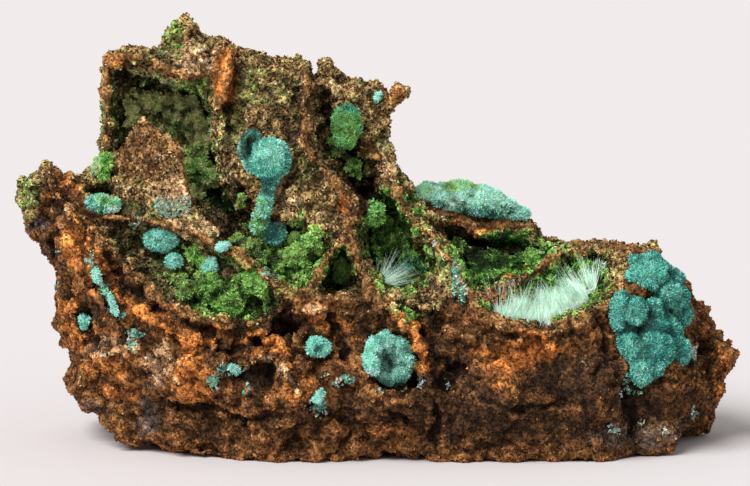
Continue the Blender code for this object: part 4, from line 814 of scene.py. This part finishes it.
def normals(piece):
    """The way that the surface faces at each of the piece's points."""
    found = np.empty(len(piece.data.vertices) * 3)
    piece.data.vertex_normals.foreach_get("vector", found)
    return found.reshape(-1, 3)


def triangles(piece):
    """The piece's triangles, as the numbers of their points."""
    piece.data.calc_loop_triangles()
    found = np.empty(len(piece.data.loop_triangles) * 3, np.int32)
    piece.data.loop_triangles.foreach_get("vertices", found)
    return found.reshape(-1, 3)


def standing(piece, rounds):
    """How far each point stands out of its surroundings, in usual amounts: below 0 in a hollow."""
    points, facing = places(piece), normals(piece)
    ends = np.empty(len(piece.data.edges) * 2, np.int32)
    piece.data.edges.foreach_get("vertices", ends)
    here, there = ends.reshape(-1, 2).T
    here, there = np.concatenate([here, there]), np.concatenate([there, here])
    count = np.maximum(np.bincount(here, minlength=len(points)), 1)
    smooth = points
    for _ in range(rounds):
        sums = [np.bincount(here, smooth[there, axis], len(points)) for axis in range(3)]
        smooth = np.column_stack(sums) / count[:, None]
    stands = ((points - smooth) * facing).sum(axis=1)
    return stands / stands.std()


def painted_relief_shade(piece, fine, broad):
    """Painted light for each point: painted highlight above 1 where it stands out of the relief, painted
    shade below 1 in a hollow.
    """
    near, far = standing(piece, 5), standing(piece, 40)
    return np.exp(fine * np.clip(near, -2.4, 1.6) + broad * np.clip(far, -2.4, 1.0))


def face_sizes(points, faces):
    """Twice the area of each triangle."""
    a, b, c = points[faces[:, 0]], points[faces[:, 1]], points[faces[:, 2]]
    return np.linalg.norm(np.cross(b - a, c - a), axis=1)


def spots_on(piece, count, rng, weight=None, carried=None):
    """Random spots on the piece's surface, its normals there and the values carried there."""
    points, faces, turned = places(piece), triangles(piece), normals(piece)
    sizes = face_sizes(points, faces)
    if weight is not None:
        sizes = sizes * weight[faces].mean(axis=1)
    picked = faces[np.searchsorted(np.cumsum(sizes), rng.random(count) * sizes.sum())]
    u, v = rng.random((2, count, 1))
    u, v = np.where(u + v > 1, 1 - u, u), np.where(u + v > 1, 1 - v, v)
    spots = (1 - u - v) * points[picked[:, 0]] + u * points[picked[:, 1]] + v * points[picked[:, 2]]
    facing = turned[picked].mean(axis=1)
    facing /= np.maximum(np.linalg.norm(facing, axis=1, keepdims=True), 1e-9)
    if carried is None:
        return spots, facing
    return spots, facing, carried[picked].mean(axis=1)


def grain_shape(sunk):
    """The points and faces of a small crystal, one high and one in radius, that is sunk in by this share."""
    bpy.ops.object.select_all(action="DESELECT")
    bpy.ops.mesh.primitive_cone_add(
        vertices=3, radius1=1, radius2=0, depth=1, location=(0, 0, 0.5 - sunk))
    grain = bpy.context.active_object
    bpy.ops.object.transform_apply(location=True, rotation=True, scale=True)
    shape = places(grain), triangles(grain)
    bpy.data.objects.remove(grain)
    return shape


def crop(shape, spots, facing, heights, radii, rng, lean=0.3):
    """Copies of the shape on the spots: points, faces and how near each point is to its tip."""
    count = len(spots)
    axis = facing + lean * rng.normal(size=(count, 3))
    axis /= np.linalg.norm(axis, axis=1, keepdims=True)
    side = np.cross(axis, rng.normal(size=(count, 3)))
    side /= np.linalg.norm(side, axis=1, keepdims=True)
    third = np.cross(axis, side)
    points, faces = shape
    around = points[None, :, 0, None] * side[:, None] + points[None, :, 1, None] * third[:, None]
    placed = spots[:, None] + around * radii[:, None, None]
    placed = placed + points[None, :, 2, None] * axis[:, None] * heights[:, None, None]
    numbered = faces[None] + len(points) * np.arange(count)[:, None, None]
    tips = np.tile((points[:, 2] > 0.5).astype(float), count)
    return placed.reshape(-1, 3), numbered.reshape(-1, 3), tips


def add_tint(mesh, colours):
    """Stores the colour of each point in the mesh."""
    stored = mesh.attributes.new("tint", "FLOAT_COLOR", "POINT").data
    stored.foreach_set("color", np.column_stack([colours, np.ones(len(colours))]).ravel())


def mesh_piece(name, parts):
    """A piece made of parts, each with points, faces, colours and nearness to the tip."""
    all_points, all_faces, all_colours, all_tips = zip(*parts)
    offsets = np.cumsum([0] + [len(points) for points in all_points[:-1]])
    faces = np.concatenate([faces + offset for faces, offset in zip(all_faces, offsets)])
    mesh = bpy.data.meshes.new(name)
    mesh.from_pydata(np.concatenate(all_points), [], faces)
    add_tint(mesh, np.concatenate(all_colours))
    mesh.attributes.new("tip", "FLOAT", "POINT").data.foreach_set("value", np.concatenate(all_tips))
    mesh.update()
    piece = bpy.data.objects.new(name, mesh)
    bpy.context.scene.collection.objects.link(piece)
    return piece


def finish_piece(piece, nodes, finish):
    """Gives the piece its material, hangs it under its body and hides the nodes that it replaces."""
    piece.data.materials.clear()
    piece.data.materials.append(finish)
    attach(piece, "root")
    if nodes:
        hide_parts(*nodes)


def add_node(tree, kind, inputs=None, **settings):
    """A shader node with its settings, whose inputs are values or the sockets that feed them."""
    made = tree.nodes.new("ShaderNode" + kind)
    for key, value in settings.items():
        setattr(made, key, value)
    for key, value in (inputs or {}).items():
        if isinstance(value, bpy.types.NodeSocket):
            tree.links.new(value, made.inputs[key])
        else:
            made.inputs[key].default_value = value
    return made


def blank_material(name):
    """A new material with its node tree and its shader."""
    made = bpy.data.materials.new(name)
    made.use_nodes = True
    return made, made.node_tree, made.node_tree.nodes["Principled BSDF"]


def speckle(tree, place, size):
    """A random grey for each cell of this size."""
    cells = add_node(tree, "TexVoronoi", {"Vector": place, "Scale": 1 / (size * MM)})
    return add_node(tree, "SeparateColor", {0: cells.outputs["Color"]}).outputs[0]


def cloud(tree, place, size, detail=4.0):
    """Soft grey clouds of this size."""
    found = add_node(tree, "TexNoise", {"Vector": place, "Scale": 1 / (size * MM), "Detail": detail})
    return found.outputs[0]


def remapped(tree, value, low, high, to_low, to_high):
    """The value, moved from the range low to high into another one."""
    return add_node(tree, "MapRange", {0: value, 1: low, 2: high, 3: to_low, 4: to_high}).outputs[0]


def shaded(tree, colour, value):
    """The colour, made lighter or darker by the value."""
    grey = add_node(tree, "CombineColor", {0: value, 1: value, 2: value}).outputs[0]
    inputs = {0: 1.0, 6: colour, 7: grey}
    return add_node(tree, "Mix", inputs, data_type="RGBA", blend_type="MULTIPLY").outputs[2]


def rock_material(settings):
    """Earthy limonite: the ground's colour, broken up in spots and clouds and darkened as painted shade in
    small pits, with a rough surface.
    """
    made, tree, shader = blank_material("limonite")
    place = add_node(tree, "TexCoord").outputs["Object"]
    tint = add_node(tree, "Attribute", attribute_name="tint").outputs["Color"]
    fine = speckle(tree, place, settings.speckle_size)
    coarse = cloud(tree, place, 2.6, 6.0)
    spots = remapped(tree, fine, 0.1, 0.9, 0.36, 1.75)
    clouds = remapped(tree, coarse, 0.35, 0.65, 0.5, 1.4)
    # Painted shade of small pits: darker near the middle of each small cell.
    cells = add_node(tree, "TexVoronoi", {"Vector": place, "Scale": 1 / (1.1 * MM)})
    pits = remapped(tree, cells.outputs["Distance"], 0.12, 0.3, 0.3, 1.0)
    colour = shaded(tree, shaded(tree, shaded(tree, tint, spots), clouds), pits)
    tree.links.new(colour, shader.inputs["Base Color"])
    shader.inputs["Roughness"].default_value = 0.82
    shader.inputs["Specular IOR Level"].default_value = 0.15
    height = add_node(tree, "Math", {0: cloud(tree, place, 0.7), 1: fine}, operation="ADD").outputs[0]
    bump = add_node(tree, "Bump", {"Height": height, "Strength": 0.9, "Distance": 0.45 * MM})
    tree.links.new(bump.outputs[0], shader.inputs["Normal"])
    return made


def crystal_material(name):
    """Fine crystals: the tint, with painted shade at their roots and a painted highlight at their tips."""
    painted_root_shade, painted_tip_highlight, roughness, sheen, painted_glow, shine = FINISHES[name]
    made, tree, shader = blank_material(name)
    place = add_node(tree, "TexCoord").outputs["Object"]
    tint = add_node(tree, "Attribute", attribute_name="tint").outputs["Color"]
    tip = add_node(tree, "Attribute", attribute_name="tip").outputs["Fac"]
    clouds = remapped(tree, cloud(tree, place, 2.2), 0.3, 0.7, 0.8, 1.2)
    shade = remapped(tree, tip, 0.0, 1.0, painted_root_shade, painted_tip_highlight)
    both = add_node(tree, "Math", {0: clouds, 1: shade}, operation="MULTIPLY").outputs[0]
    colour = shaded(tree, tint, both)
    tree.links.new(colour, shader.inputs["Base Color"])
    # Painted glow: the crystals give off their own colour as light, as strongly as the glow in FINISHES
    # says.
    tree.links.new(colour, shader.inputs["Emission Color"])
    shader.inputs["Roughness"].default_value = roughness
    shader.inputs["Specular IOR Level"].default_value = shine
    shader.inputs["Sheen Weight"].default_value = sheen
    shader.inputs["Emission Strength"].default_value = painted_glow
    return made


def colour_setting(name, description, red, green, blue):
    """A colour as a screen shows it, each part from 0 to 255."""
    shares = (red / 255, green / 255, blue / 255)
    return bpy.props.FloatVectorProperty(
        name=name, description=description, subtype="COLOR_GAMMA", size=3, min=0, max=1, default=shares)


class SpecimenSettings(bpy.types.PropertyGroup):
    """The sizes of the crystals, how finely the rock is made, the colours and the light."""
    rock_voxel: bpy.props.FloatProperty(
        name="Rock voxel", description="Fineness of the rock's surface, in millimetres", default=0.36)
    rock_triangles: bpy.props.IntProperty(
        name="Rock triangles", description="Triangles left in the rock", default=190000, min=1,
        subtype="UNSIGNED")
    rock_relief: bpy.props.FloatProperty(
        name="Rock relief", description="Height of the rock's broken relief, in millimetres", default=1.3)
    druse_grains: bpy.props.IntProperty(
        name="Druse grains", description="Number of druse crystals in each piece", default=42000, min=1,
        subtype="UNSIGNED")
    grit_grains: bpy.props.IntProperty(
        name="Grit grains", description="Number of grains on the broken rock", default=42000, min=1,
        subtype="UNSIGNED")
    grain_size: bpy.props.FloatProperty(
        name="Grain size", description="Height of a druse crystal, in millimetres", default=0.46)
    velvet_length: bpy.props.FloatProperty(
        name="Velvet length", description="Height of a rosasite fibre's tip, in millimetres", default=0.5)
    velvet_density: bpy.props.FloatProperty(
        name="Velvet density", description="Rosasite fibres on each square millimetre", default=24.0)
    moss_density: bpy.props.FloatProperty(
        name="Moss density", description="Conichalcite crystals on each square millimetre", default=15.0)
    speckle_size: bpy.props.FloatProperty(
        name="Speckle size", description="Size of the rock's colour spots, in millimetres", default=0.42)
    sun_strength: bpy.props.FloatProperty(
        name="Sun strength", description="Strength of the main light", default=2.9, subtype="POWER")
    sky_strength: bpy.props.FloatProperty(
        name="Sky strength", description="Strength of the light from all round", default=0.4)
    sun_width: bpy.props.FloatProperty(
        name="Sun width", description="How wide the main light is seen", default=0.6, subtype="ANGLE")
    # Soot is the rock's own black-brown, and also the colour of the painted shade in the dark and shade
    # grounds.
    soot: colour_setting("Soot", "Black-brown of pits and cracks", 40, 29, 20)
    umber: colour_setting("Umber", "Dark brown of the rock", 84, 56, 33)
    brown: colour_setting("Brown", "Brown of the rock", 122, 84, 46)
    tan: colour_setting("Tan", "Tan druse", 190, 150, 98)
    peach: colour_setting("Peach", "Pinkish druse", 226, 178, 132)
    bone: colour_setting("Bone", "Palest druse", 236, 222, 196)
    olive: colour_setting("Olive", "Olive druse", 118, 112, 54)
    sage: colour_setting("Sage", "Grey-green druse", 134, 150, 96)
    # Lichen is the chamber's own light grey-green, made lighter still as painted light against the shadow of
    # the overhang.
    lichen: colour_setting("Lichen", "Light grey-green of the upper chamber", 216, 222, 148)
    rust: colour_setting("Rust", "Rusty orange-brown", 174, 106, 50)
    ember: colour_setting("Ember", "Bright rusty orange", 204, 120, 58)
    slate: colour_setting("Slate", "Bluish grey crust", 92, 88, 86)
    lime: colour_setting("Lime", "Lightest conichalcite", 176, 206, 116)
    leaf: colour_setting("Leaf", "Light green conichalcite", 128, 184, 84)
    grass: colour_setting("Grass", "Green conichalcite", 82, 150, 56)
    bottle: colour_setting("Bottle", "Dark green conichalcite", 34, 80, 18)
    mint: colour_setting("Mint", "Pale mint crust", 182, 222, 194)
    jade: colour_setting("Jade", "Bluish green conichalcite", 80, 164, 108)
    ice: colour_setting("Ice", "Pale turquoise rosasite", 162, 220, 198)
    turquoise: colour_setting("Turquoise", "Turquoise rosasite", 92, 186, 166)
    lagoon: colour_setting("Lagoon", "Deeper turquoise rosasite", 50, 148, 134)
    deep_sea: colour_setting("Deep sea", "Deep teal rosasite", 18, 98, 94)
    frost: colour_setting("Frost", "White of needles and flecks", 232, 250, 238)
    glass: colour_setting("Glass", "Pale green of needles", 186, 234, 206)


def area_of(piece):
    """The area of the piece's surface, in square millimetres."""
    return float(face_sizes(places(piece) / MM, triangles(piece)).sum() / 2)


def horn(name):
    """A thin curved horn of crystals beside a piece."""
    course, depth, radius = HORNS[name]
    line = bpy.data.curves.new(name + "_horn", "CURVE")
    line.dimensions = "3D"
    line.bevel_depth = radius * MM
    line.use_fill_caps = True
    spline = line.splines.new("NURBS")
    spline.points.add(len(course) - 1)
    spline.use_endpoint_u = True
    spline.points.foreach_set("co", np.array([(*seen(*spot, depth), 1) for spot in course]).ravel())
    made = bpy.data.objects.new(name + "_horn", line)
    bpy.context.scene.collection.objects.link(made)
    select_only(made)
    bpy.ops.object.convert(target="MESH")
    return bpy.context.view_layer.objects.active


def thin_out(piece, faces):
    """Leaves the piece with about this many triangles at most."""
    apply(piece, "fewer_faces", "DECIMATE", ratio=min(1.0, faces / len(triangles(piece))))


def crystal_body(nodes, name, lumps, height, swell):
    """A lumpy body of crystals: the nodes' form, swollen a little, with lobes and rounded lumps."""
    body = copy_of(nodes, name + "_body")
    if name in HORNS:
        thin = horn(name)
        select_only(body)
        thin.select_set(True)
        bpy.ops.object.join()
    apply(body, "even_faces", "REMESH", mode="VOXEL", voxel_size=BODY_VOXEL * MM)
    apply(body, "soften", "SMOOTH", factor=0.6, iterations=4)
    lifted, _, dent = lobes_on(name, places(body))
    moved = places(body) + normals(body) * lifted[:, None] * MM
    moved[:, 1] += dent * MM
    body.data.vertices.foreach_set("co", moved.ravel())
    apply(body, "even_again", "REMESH", mode="VOXEL", voxel_size=0.8 * BODY_VOXEL * MM)
    displace(body, name + "_lumps", "VORONOI", lumps, -height, 0.45 + swell / height)
    displace(body, name + "_small_lumps", "VORONOI", 0.45 * lumps, -0.4 * height)
    displace(body, name + "_clouds", "CLOUDS", 1.2, 0.35)
    thin_out(body, BODY_FACES)
    return body


class SPECIMEN_OT_rock(bpy.types.Operator):
    """Make the boxwork rock with its broken relief and its colours"""
    bl_idname = "specimen.rock"
    bl_label = "Boxwork Rock"

    def execute(self, context):
        settings = context.scene.specimen
        rock = copy_of(["boxwork_matrix"], "boxwork_rock")
        apply(rock, "even_faces", "REMESH", mode="VOXEL", voxel_size=settings.rock_voxel * MM)
        apply(rock, "soften", "SMOOTH", factor=0.6, iterations=2)
        points = places(rock)
        druse = druse_share(points)
        rough = 1 - patch_weights(points, SMOOTH, 0.2).max(axis=0)
        for name, share in (("lined", druse * rough), ("open_face", (1 - 0.6 * druse) * rough)):
            group = rock.vertex_groups.new(name=name)
            steps = np.round(share * 10).astype(int)
            for step in range(11):
                group.add(np.flatnonzero(steps == step).tolist(), step / 10, "REPLACE")
        moved = 0.45 * layers(points) + np.array([line[1] for line in LINES]) @ line_covers(points, LINES)
        rock.data.vertices.foreach_set("co", (points + normals(rock) * moved[:, None] * MM).ravel())
        for name, pattern, size, height, middle, group, metric in ROCK_RELIEF:
            displace(rock, name, pattern, size, height * settings.rock_relief, middle, group, metric)
        for name, pattern, size, height, middle, group, metric in DRUSE_RELIEF:
            displace(rock, name, pattern, size, height, middle, group, metric)
        thin_out(rock, settings.rock_triangles)
        points = places(rock)
        points[:, 2] = np.maximum(points[:, 2], 0)
        rock.data.vertices.foreach_set("co", points.ravel())
        rock.vertex_groups.clear()
        # Painted shade in the hollows of the relief and painted highlight on what stands out, times a random
        # grey tone, go into the rock's tint.
        grey = uneven(points, 1.3, 3.0, 3) + 0.8 * layers(points)
        shade = painted_relief_shade(rock, 0.36, 0.3) * (1 + 0.4 * grey)
        add_tint(rock.data, np.clip(mean_colours(rock_grounds(points)) * shade[:, None], 0, 1))
        rock.data.shade_smooth()
        finish_piece(rock, ["boxwork_matrix"], rock_material(settings))
        return {"FINISHED"}


def for_each_point(colours, shape):
    """The colour of each copy of the shape, given to each of its points."""
    return np.repeat(np.clip(colours, 0, 1), len(shape[0]), axis=0)


def grain_piece(name, spots, facing, shade, grounds, size, rng, lean):
    """A piece of small crystals on these spots, in colours picked from their grounds, made lighter or darker
    by the painted shade given for each spot.
    """
    shape = grain_shape(GRAIN_SUNK)
    sizes = size * MM * rng.uniform(*GRAIN_SIZES, len(spots))
    points, faces, tips = crop(shape, spots, facing, sizes, 0.6 * sizes, rng, lean)
    colours = picked_colours(grounds, rng) * (shade * rng.uniform(*GRAIN_LIGHT, len(spots)))[:, None]
    return mesh_piece(name, [(points, faces, for_each_point(colours, shape), tips)])


class SPECIMEN_OT_druse(bpy.types.Operator):
    """Line the hollows with small druse crystals and cover the broken rock with grit"""
    bl_idname = "specimen.druse"
    bl_label = "Druse and Grit"

    def execute(self, context):
        settings = context.scene.specimen
        rock = bpy.data.objects["boxwork_rock"]
        finish = crystal_material("druse")
        grit_finish = crystal_material("grit")
        points = places(rock)
        druse = druse_share(points)
        across, up, deep = as_seen(points)
        # Painted shade in the hollows of the rock and painted highlight on what stands out, carried to each
        # grain's colour.
        shade = painted_relief_shade(rock, 0.4, 0.36)
        tower = across + TOWER_SLOPE * up < TOWER_EDGE
        front = eased((12 - deep) / 8)
        for number, (name, share, count, size, look) in enumerate([
                ("tower_druse", druse * tower, settings.druse_grains, settings.grain_size, finish),
                ("right_druse", druse * ~tower, settings.druse_grains, settings.grain_size, finish),
                ("front_grit", (1 - druse) * front, settings.grit_grains, 0.8 * settings.grain_size,
                 grit_finish)]):
            rng = np.random.default_rng(GRAIN_SEED + number)
            spots, facing, light = spots_on(rock, count, rng, share + 1e-9, shade)
            piece = grain_piece(name, spots, facing, light, rock_grounds(spots), size, rng, 1.4)
            finish_piece(piece, [], look)
        rng = np.random.default_rng(FLECK_SEED)
        weights = patch_weights(points, FLECKS, *FLECK_SPREAD).max(axis=0)
        facing_front = (normals(rock)[:, 1] < 0.3) * (deep < 6)
        spots, facing = spots_on(rock, FLECK_COUNT, rng, weights * facing_front + 1e-12)
        grounds = {}
        for (kind, *_), weight in zip(FLECKS, patch_weights(spots, FLECKS, *FLECK_SPREAD) + 1e-6):
            grounds[kind] = grounds.get(kind, 0) + weight
        piece = grain_piece("flecks", spots, facing, np.ones(len(spots)), grounds, FLECK_SIZE, rng, 1.2)
        finish_piece(piece, [], finish)
        return {"FINISHED"}


def dressed_crystals(name, nodes, grounds, finish, density, length, lumps, height, swell, seed, lean):
    """A piece of crystals: a lumpy body covered with small tips, both in the colours of its grounds, with
    painted shade in its hollows and painted highlight on what stands out.
    """
    rng = np.random.default_rng(seed)
    body = crystal_body(nodes, name, lumps, height, swell)
    # The rims of lobes count as standing out, so they take the painted highlight too.
    stands = standing(body, 14) + 1.2 * (lobes_on(name, places(body))[1] if name in LOBES else 0)
    # Painted shade in the body's hollows and painted highlight on its lumps, for the tips and for the body.
    shade = painted_relief_shade(body, 0.16, 0.28)
    shape = grain_shape(TIP_SUNK)
    count = int(density * area_of(body))
    spots, facing, carried = spots_on(body, count, rng, None, np.column_stack([stands, shade]))
    sizes = length * MM * rng.uniform(*TIP_SIZES, count)
    points, faces, tips = crop(shape, spots, facing, sizes, np.minimum(0.34 * sizes, 0.2 * MM), rng, lean)
    colours = picked_colours(grounds(spots, carried[:, 0]), rng) * carried[:, 1:]
    colours = colours * rng.uniform(*TIP_LIGHT, (count, 1))
    ground = np.clip(mean_colours(grounds(places(body), stands)) * shade[:, None], 0, 1)
    # The body counts as near the roots of its crystals, so it takes their painted shade.
    piece = mesh_piece(name, [
        (places(body), triangles(body), ground, np.full(len(ground), 0.1)),
        (points, faces, for_each_point(colours, shape), tips),
    ])
    bpy.data.objects.remove(body)
    finish_piece(piece, nodes, finish)


class SPECIMEN_OT_rosasite(bpy.types.Operator):
    """Make the turquoise rosasite balls and crusts, velvety with fine fibres"""
    bl_idname = "specimen.rosasite"
    bl_label = "Rosasite"

    def execute(self, context):
        settings = context.scene.specimen
        finish = crystal_material("rosasite")
        for seed, (name, (nodes, base, patches)) in enumerate(ROSASITE.items()):
            # The paler ground is the painted highlight on what stands out, and deep_rosasite is the painted
            # shade in hollows.
            highlight_ground = "rosasite" if base == "deep_rosasite" else "pale_rosasite"
            grounds = own_grounds(base, patches, highlight_ground, "deep_rosasite")
            dressed_crystals(
                name, nodes, grounds, finish, settings.velvet_density, settings.velvet_length,
                lumps=1.5, height=0.5, swell=SWELLS.get(name, ROSASITE_SWELL),
                seed=ROSASITE_SEED + seed, lean=0.25)
        return {"FINISHED"}


class SPECIMEN_OT_conichalcite(bpy.types.Operator):
    """Make the green conichalcite crusts in the hollows"""
    bl_idname = "specimen.conichalcite"
    bl_label = "Conichalcite"

    def execute(self, context):
        settings = context.scene.specimen
        finish = crystal_material("conichalcite")
        for seed, (name, (nodes, base, patches, length)) in enumerate(CONICHALCITE.items()):
            # The lighter ground is the painted highlight on what stands out, and shade is the painted shade
            # in hollows.
            highlight_ground = {"grey_green": "grey_green", "shade": "moss", "jade": "jade"}.get(base, "bright_moss")
            grounds = own_grounds(base, patches, highlight_ground, "shade")
            dressed_crystals(
                name, nodes, grounds, finish, settings.moss_density, length, lumps=1.7,
                height=0.7 if base == "jade" else 1.3, swell=CONICHALCITE_SWELL,
                seed=CONICHALCITE_SEED + seed, lean=0.5)
        return {"FINISHED"}


def needle_courses(spots, from_roots, roots, rng):
    """Where the needles start and the directions that they take."""
    count = len(spots)
    gathered = np.array([seen(*root[:3]) for root in roots])
    nearest = np.argmin(np.linalg.norm(spots[:, None] - gathered[None], axis=2), axis=1)
    if from_roots:
        nearest = rng.integers(0, len(roots), count)
    lowest, highest = np.radians(np.array([root[3:] for root in roots]))[nearest].T
    turn = rng.uniform(lowest, highest)
    fan = np.column_stack([np.cos(turn), rng.normal(-0.25, 0.3, count), np.sin(turn)])
    out = spots - gathered[nearest]
    out /= np.linalg.norm(out, axis=1, keepdims=True)
    away = fan if from_roots else 0.5 * fan + 0.8 * out
    away /= np.linalg.norm(away, axis=1, keepdims=True)
    starts = gathered[nearest] + rng.normal(0, 0.3 * MM, spots.shape) if from_roots else spots
    return starts, away


class SPECIMEN_OT_aurichalcite(bpy.types.Operator):
    """Make the sprays of pale aurichalcite needles"""
    bl_idname = "specimen.aurichalcite"
    bl_label = "Aurichalcite"

    def execute(self, context):
        finish = crystal_material("aurichalcite")
        shape = grain_shape(NEEDLE_SUNK)
        for seed, (name, (node, shift, base, layers_of, from_roots, roots)) in enumerate(SPRAYS.items()):
            rng = np.random.default_rng(SPRAY_SEED + seed)
            body = copy_of([node], name + "_body")
            apply(body, "even_faces", "REMESH", mode="VOXEL", voxel_size=BODY_VOXEL * MM)
            apply(body, "shrink", "DISPLACE", strength=-0.8 * MM, mid_level=0.0)
            displace(body, name + "_lumps", "VORONOI", 1.2, -0.6)
            body.data.vertices.foreach_set("co", (places(body) + np.array(shift) * MM).ravel())
            ground = mean_colours({base: np.ones(len(places(body)))})
            # The spray's body counts as part way up the needles, so it takes some of their painted root
            # shade.
            parts = [(places(body), triangles(body), ground, np.full(len(ground), 0.4))]
            to_front = (normals(body)[:, 1] < 0.3).astype(float) + 1e-9
            for count, shortest, longest, radius in layers_of:
                spots, _ = spots_on(body, count, rng, to_front)
                starts, away = needle_courses(spots, from_roots, roots, rng)
                long = (shortest + (longest - shortest) * rng.random(count) ** 1.6) * MM
                starts = starts - 0.15 * long[:, None] * away
                radii = radius * MM * rng.uniform(*NEEDLE_WIDTHS, count)
                points, faces, tips = crop(shape, starts, away, long, radii, rng, 0.08)
                colours = picked_colours({"needle": np.ones(count)}, rng)
                colours = colours * rng.uniform(*NEEDLE_LIGHT, (count, 1))
                parts.append((points, faces, for_each_point(colours, shape), tips))
            piece = mesh_piece(name, parts)
            bpy.data.objects.remove(body)
            finish_piece(piece, [node], finish)
        return {"FINISHED"}


class SPECIMEN_OT_stage(bpy.types.Operator):
    """Make the floor, the lights and the camera"""
    bl_idname = "specimen.stage"
    bl_label = "Stage"

    def execute(self, context):
        settings = context.scene.specimen
        bpy.ops.object.select_all(action="DESELECT")
        bpy.ops.mesh.primitive_plane_add(size=FLOOR_SIZE, location=(0, 0, -FLOOR_DROP))
        floor = context.active_object
        floor.name = "floor"
        bpy.ops.object.transform_apply(location=True, rotation=True, scale=True)
        paper, _, shader = blank_material("paper")
        shader.inputs["Base Color"].default_value = FLOOR_COLOUR
        shader.inputs["Roughness"].default_value = 0.9
        floor.data.materials.append(paper)
        world = bpy.data.worlds.new("studio")
        context.scene.world = world
        world.use_nodes = True
        sky = world.node_tree.nodes["Background"]
        sky.inputs["Color"].default_value = SKY_COLOUR
        sky.inputs["Strength"].default_value = settings.sky_strength
        bpy.ops.object.light_add(type="SUN", location=SUN_PLACE)
        sun = context.active_object
        sun.name = "sun"
        sun.data.energy = settings.sun_strength
        sun.data.angle = settings.sun_width
        sun.rotation_euler = (-sun.location).to_track_quat("-Z", "Y").to_euler()
        back = Vector((0, -math.cos(VIEW_TILT), math.sin(VIEW_TILT)))
        camera = bpy.data.cameras.new("camera")
        camera.sensor_width = SENSOR
        camera.lens = SENSOR * VIEW_DISTANCE / PICTURE_WIDTH
        camera.shift_y = PICTURE_SHIFT / PICTURE_WIDTH
        holder = bpy.data.objects.new("camera", camera)
        context.scene.collection.objects.link(holder)
        holder.location = seen(0, EYE_HEIGHT, 0) + back * VIEW_DISTANCE * MM
        holder.rotation_euler = (-back).to_track_quat("-Z", "Y").to_euler()
        camera.clip_start = CLIP_START
        context.scene.camera = holder
        context.scene.view_settings.view_transform = "Standard"
        return {"FINISHED"}


class SPECIMEN_PT_panel(bpy.types.Panel):
    """The specimen's steps and sizes"""
    bl_label = "Specimen"
    bl_space_type = "VIEW_3D"
    bl_region_type = "UI"
    bl_category = "Specimen"

    def draw(self, context):
        """Lists the settings and then the steps."""
        for name in SpecimenSettings.__annotations__:
            self.layout.prop(context.scene.specimen, name)
        for step in STEPS:
            self.layout.operator(step.bl_idname)


STEPS = (SPECIMEN_OT_stage, SPECIMEN_OT_rock, SPECIMEN_OT_druse, SPECIMEN_OT_rosasite,
         SPECIMEN_OT_conichalcite, SPECIMEN_OT_aurichalcite)
CLASSES = (SpecimenSettings, *STEPS, SPECIMEN_PT_panel)


def register():
    """Makes the classes and the settings known."""
    for one in CLASSES:
        bpy.utils.register_class(one)
    bpy.types.Scene.specimen = bpy.props.PointerProperty(type=SpecimenSettings)


def unregister():
    """Takes the settings and the classes away again."""
    del bpy.types.Scene.specimen
    for one in reversed(CLASSES):
        bpy.utils.unregister_class(one)


def main():
    """Dresses the specimen."""
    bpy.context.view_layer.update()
    register()
    for step in STEPS:
        getattr(bpy.ops.specimen, step.bl_idname.split(".")[1])()


if __name__ == "__main__":
    main()
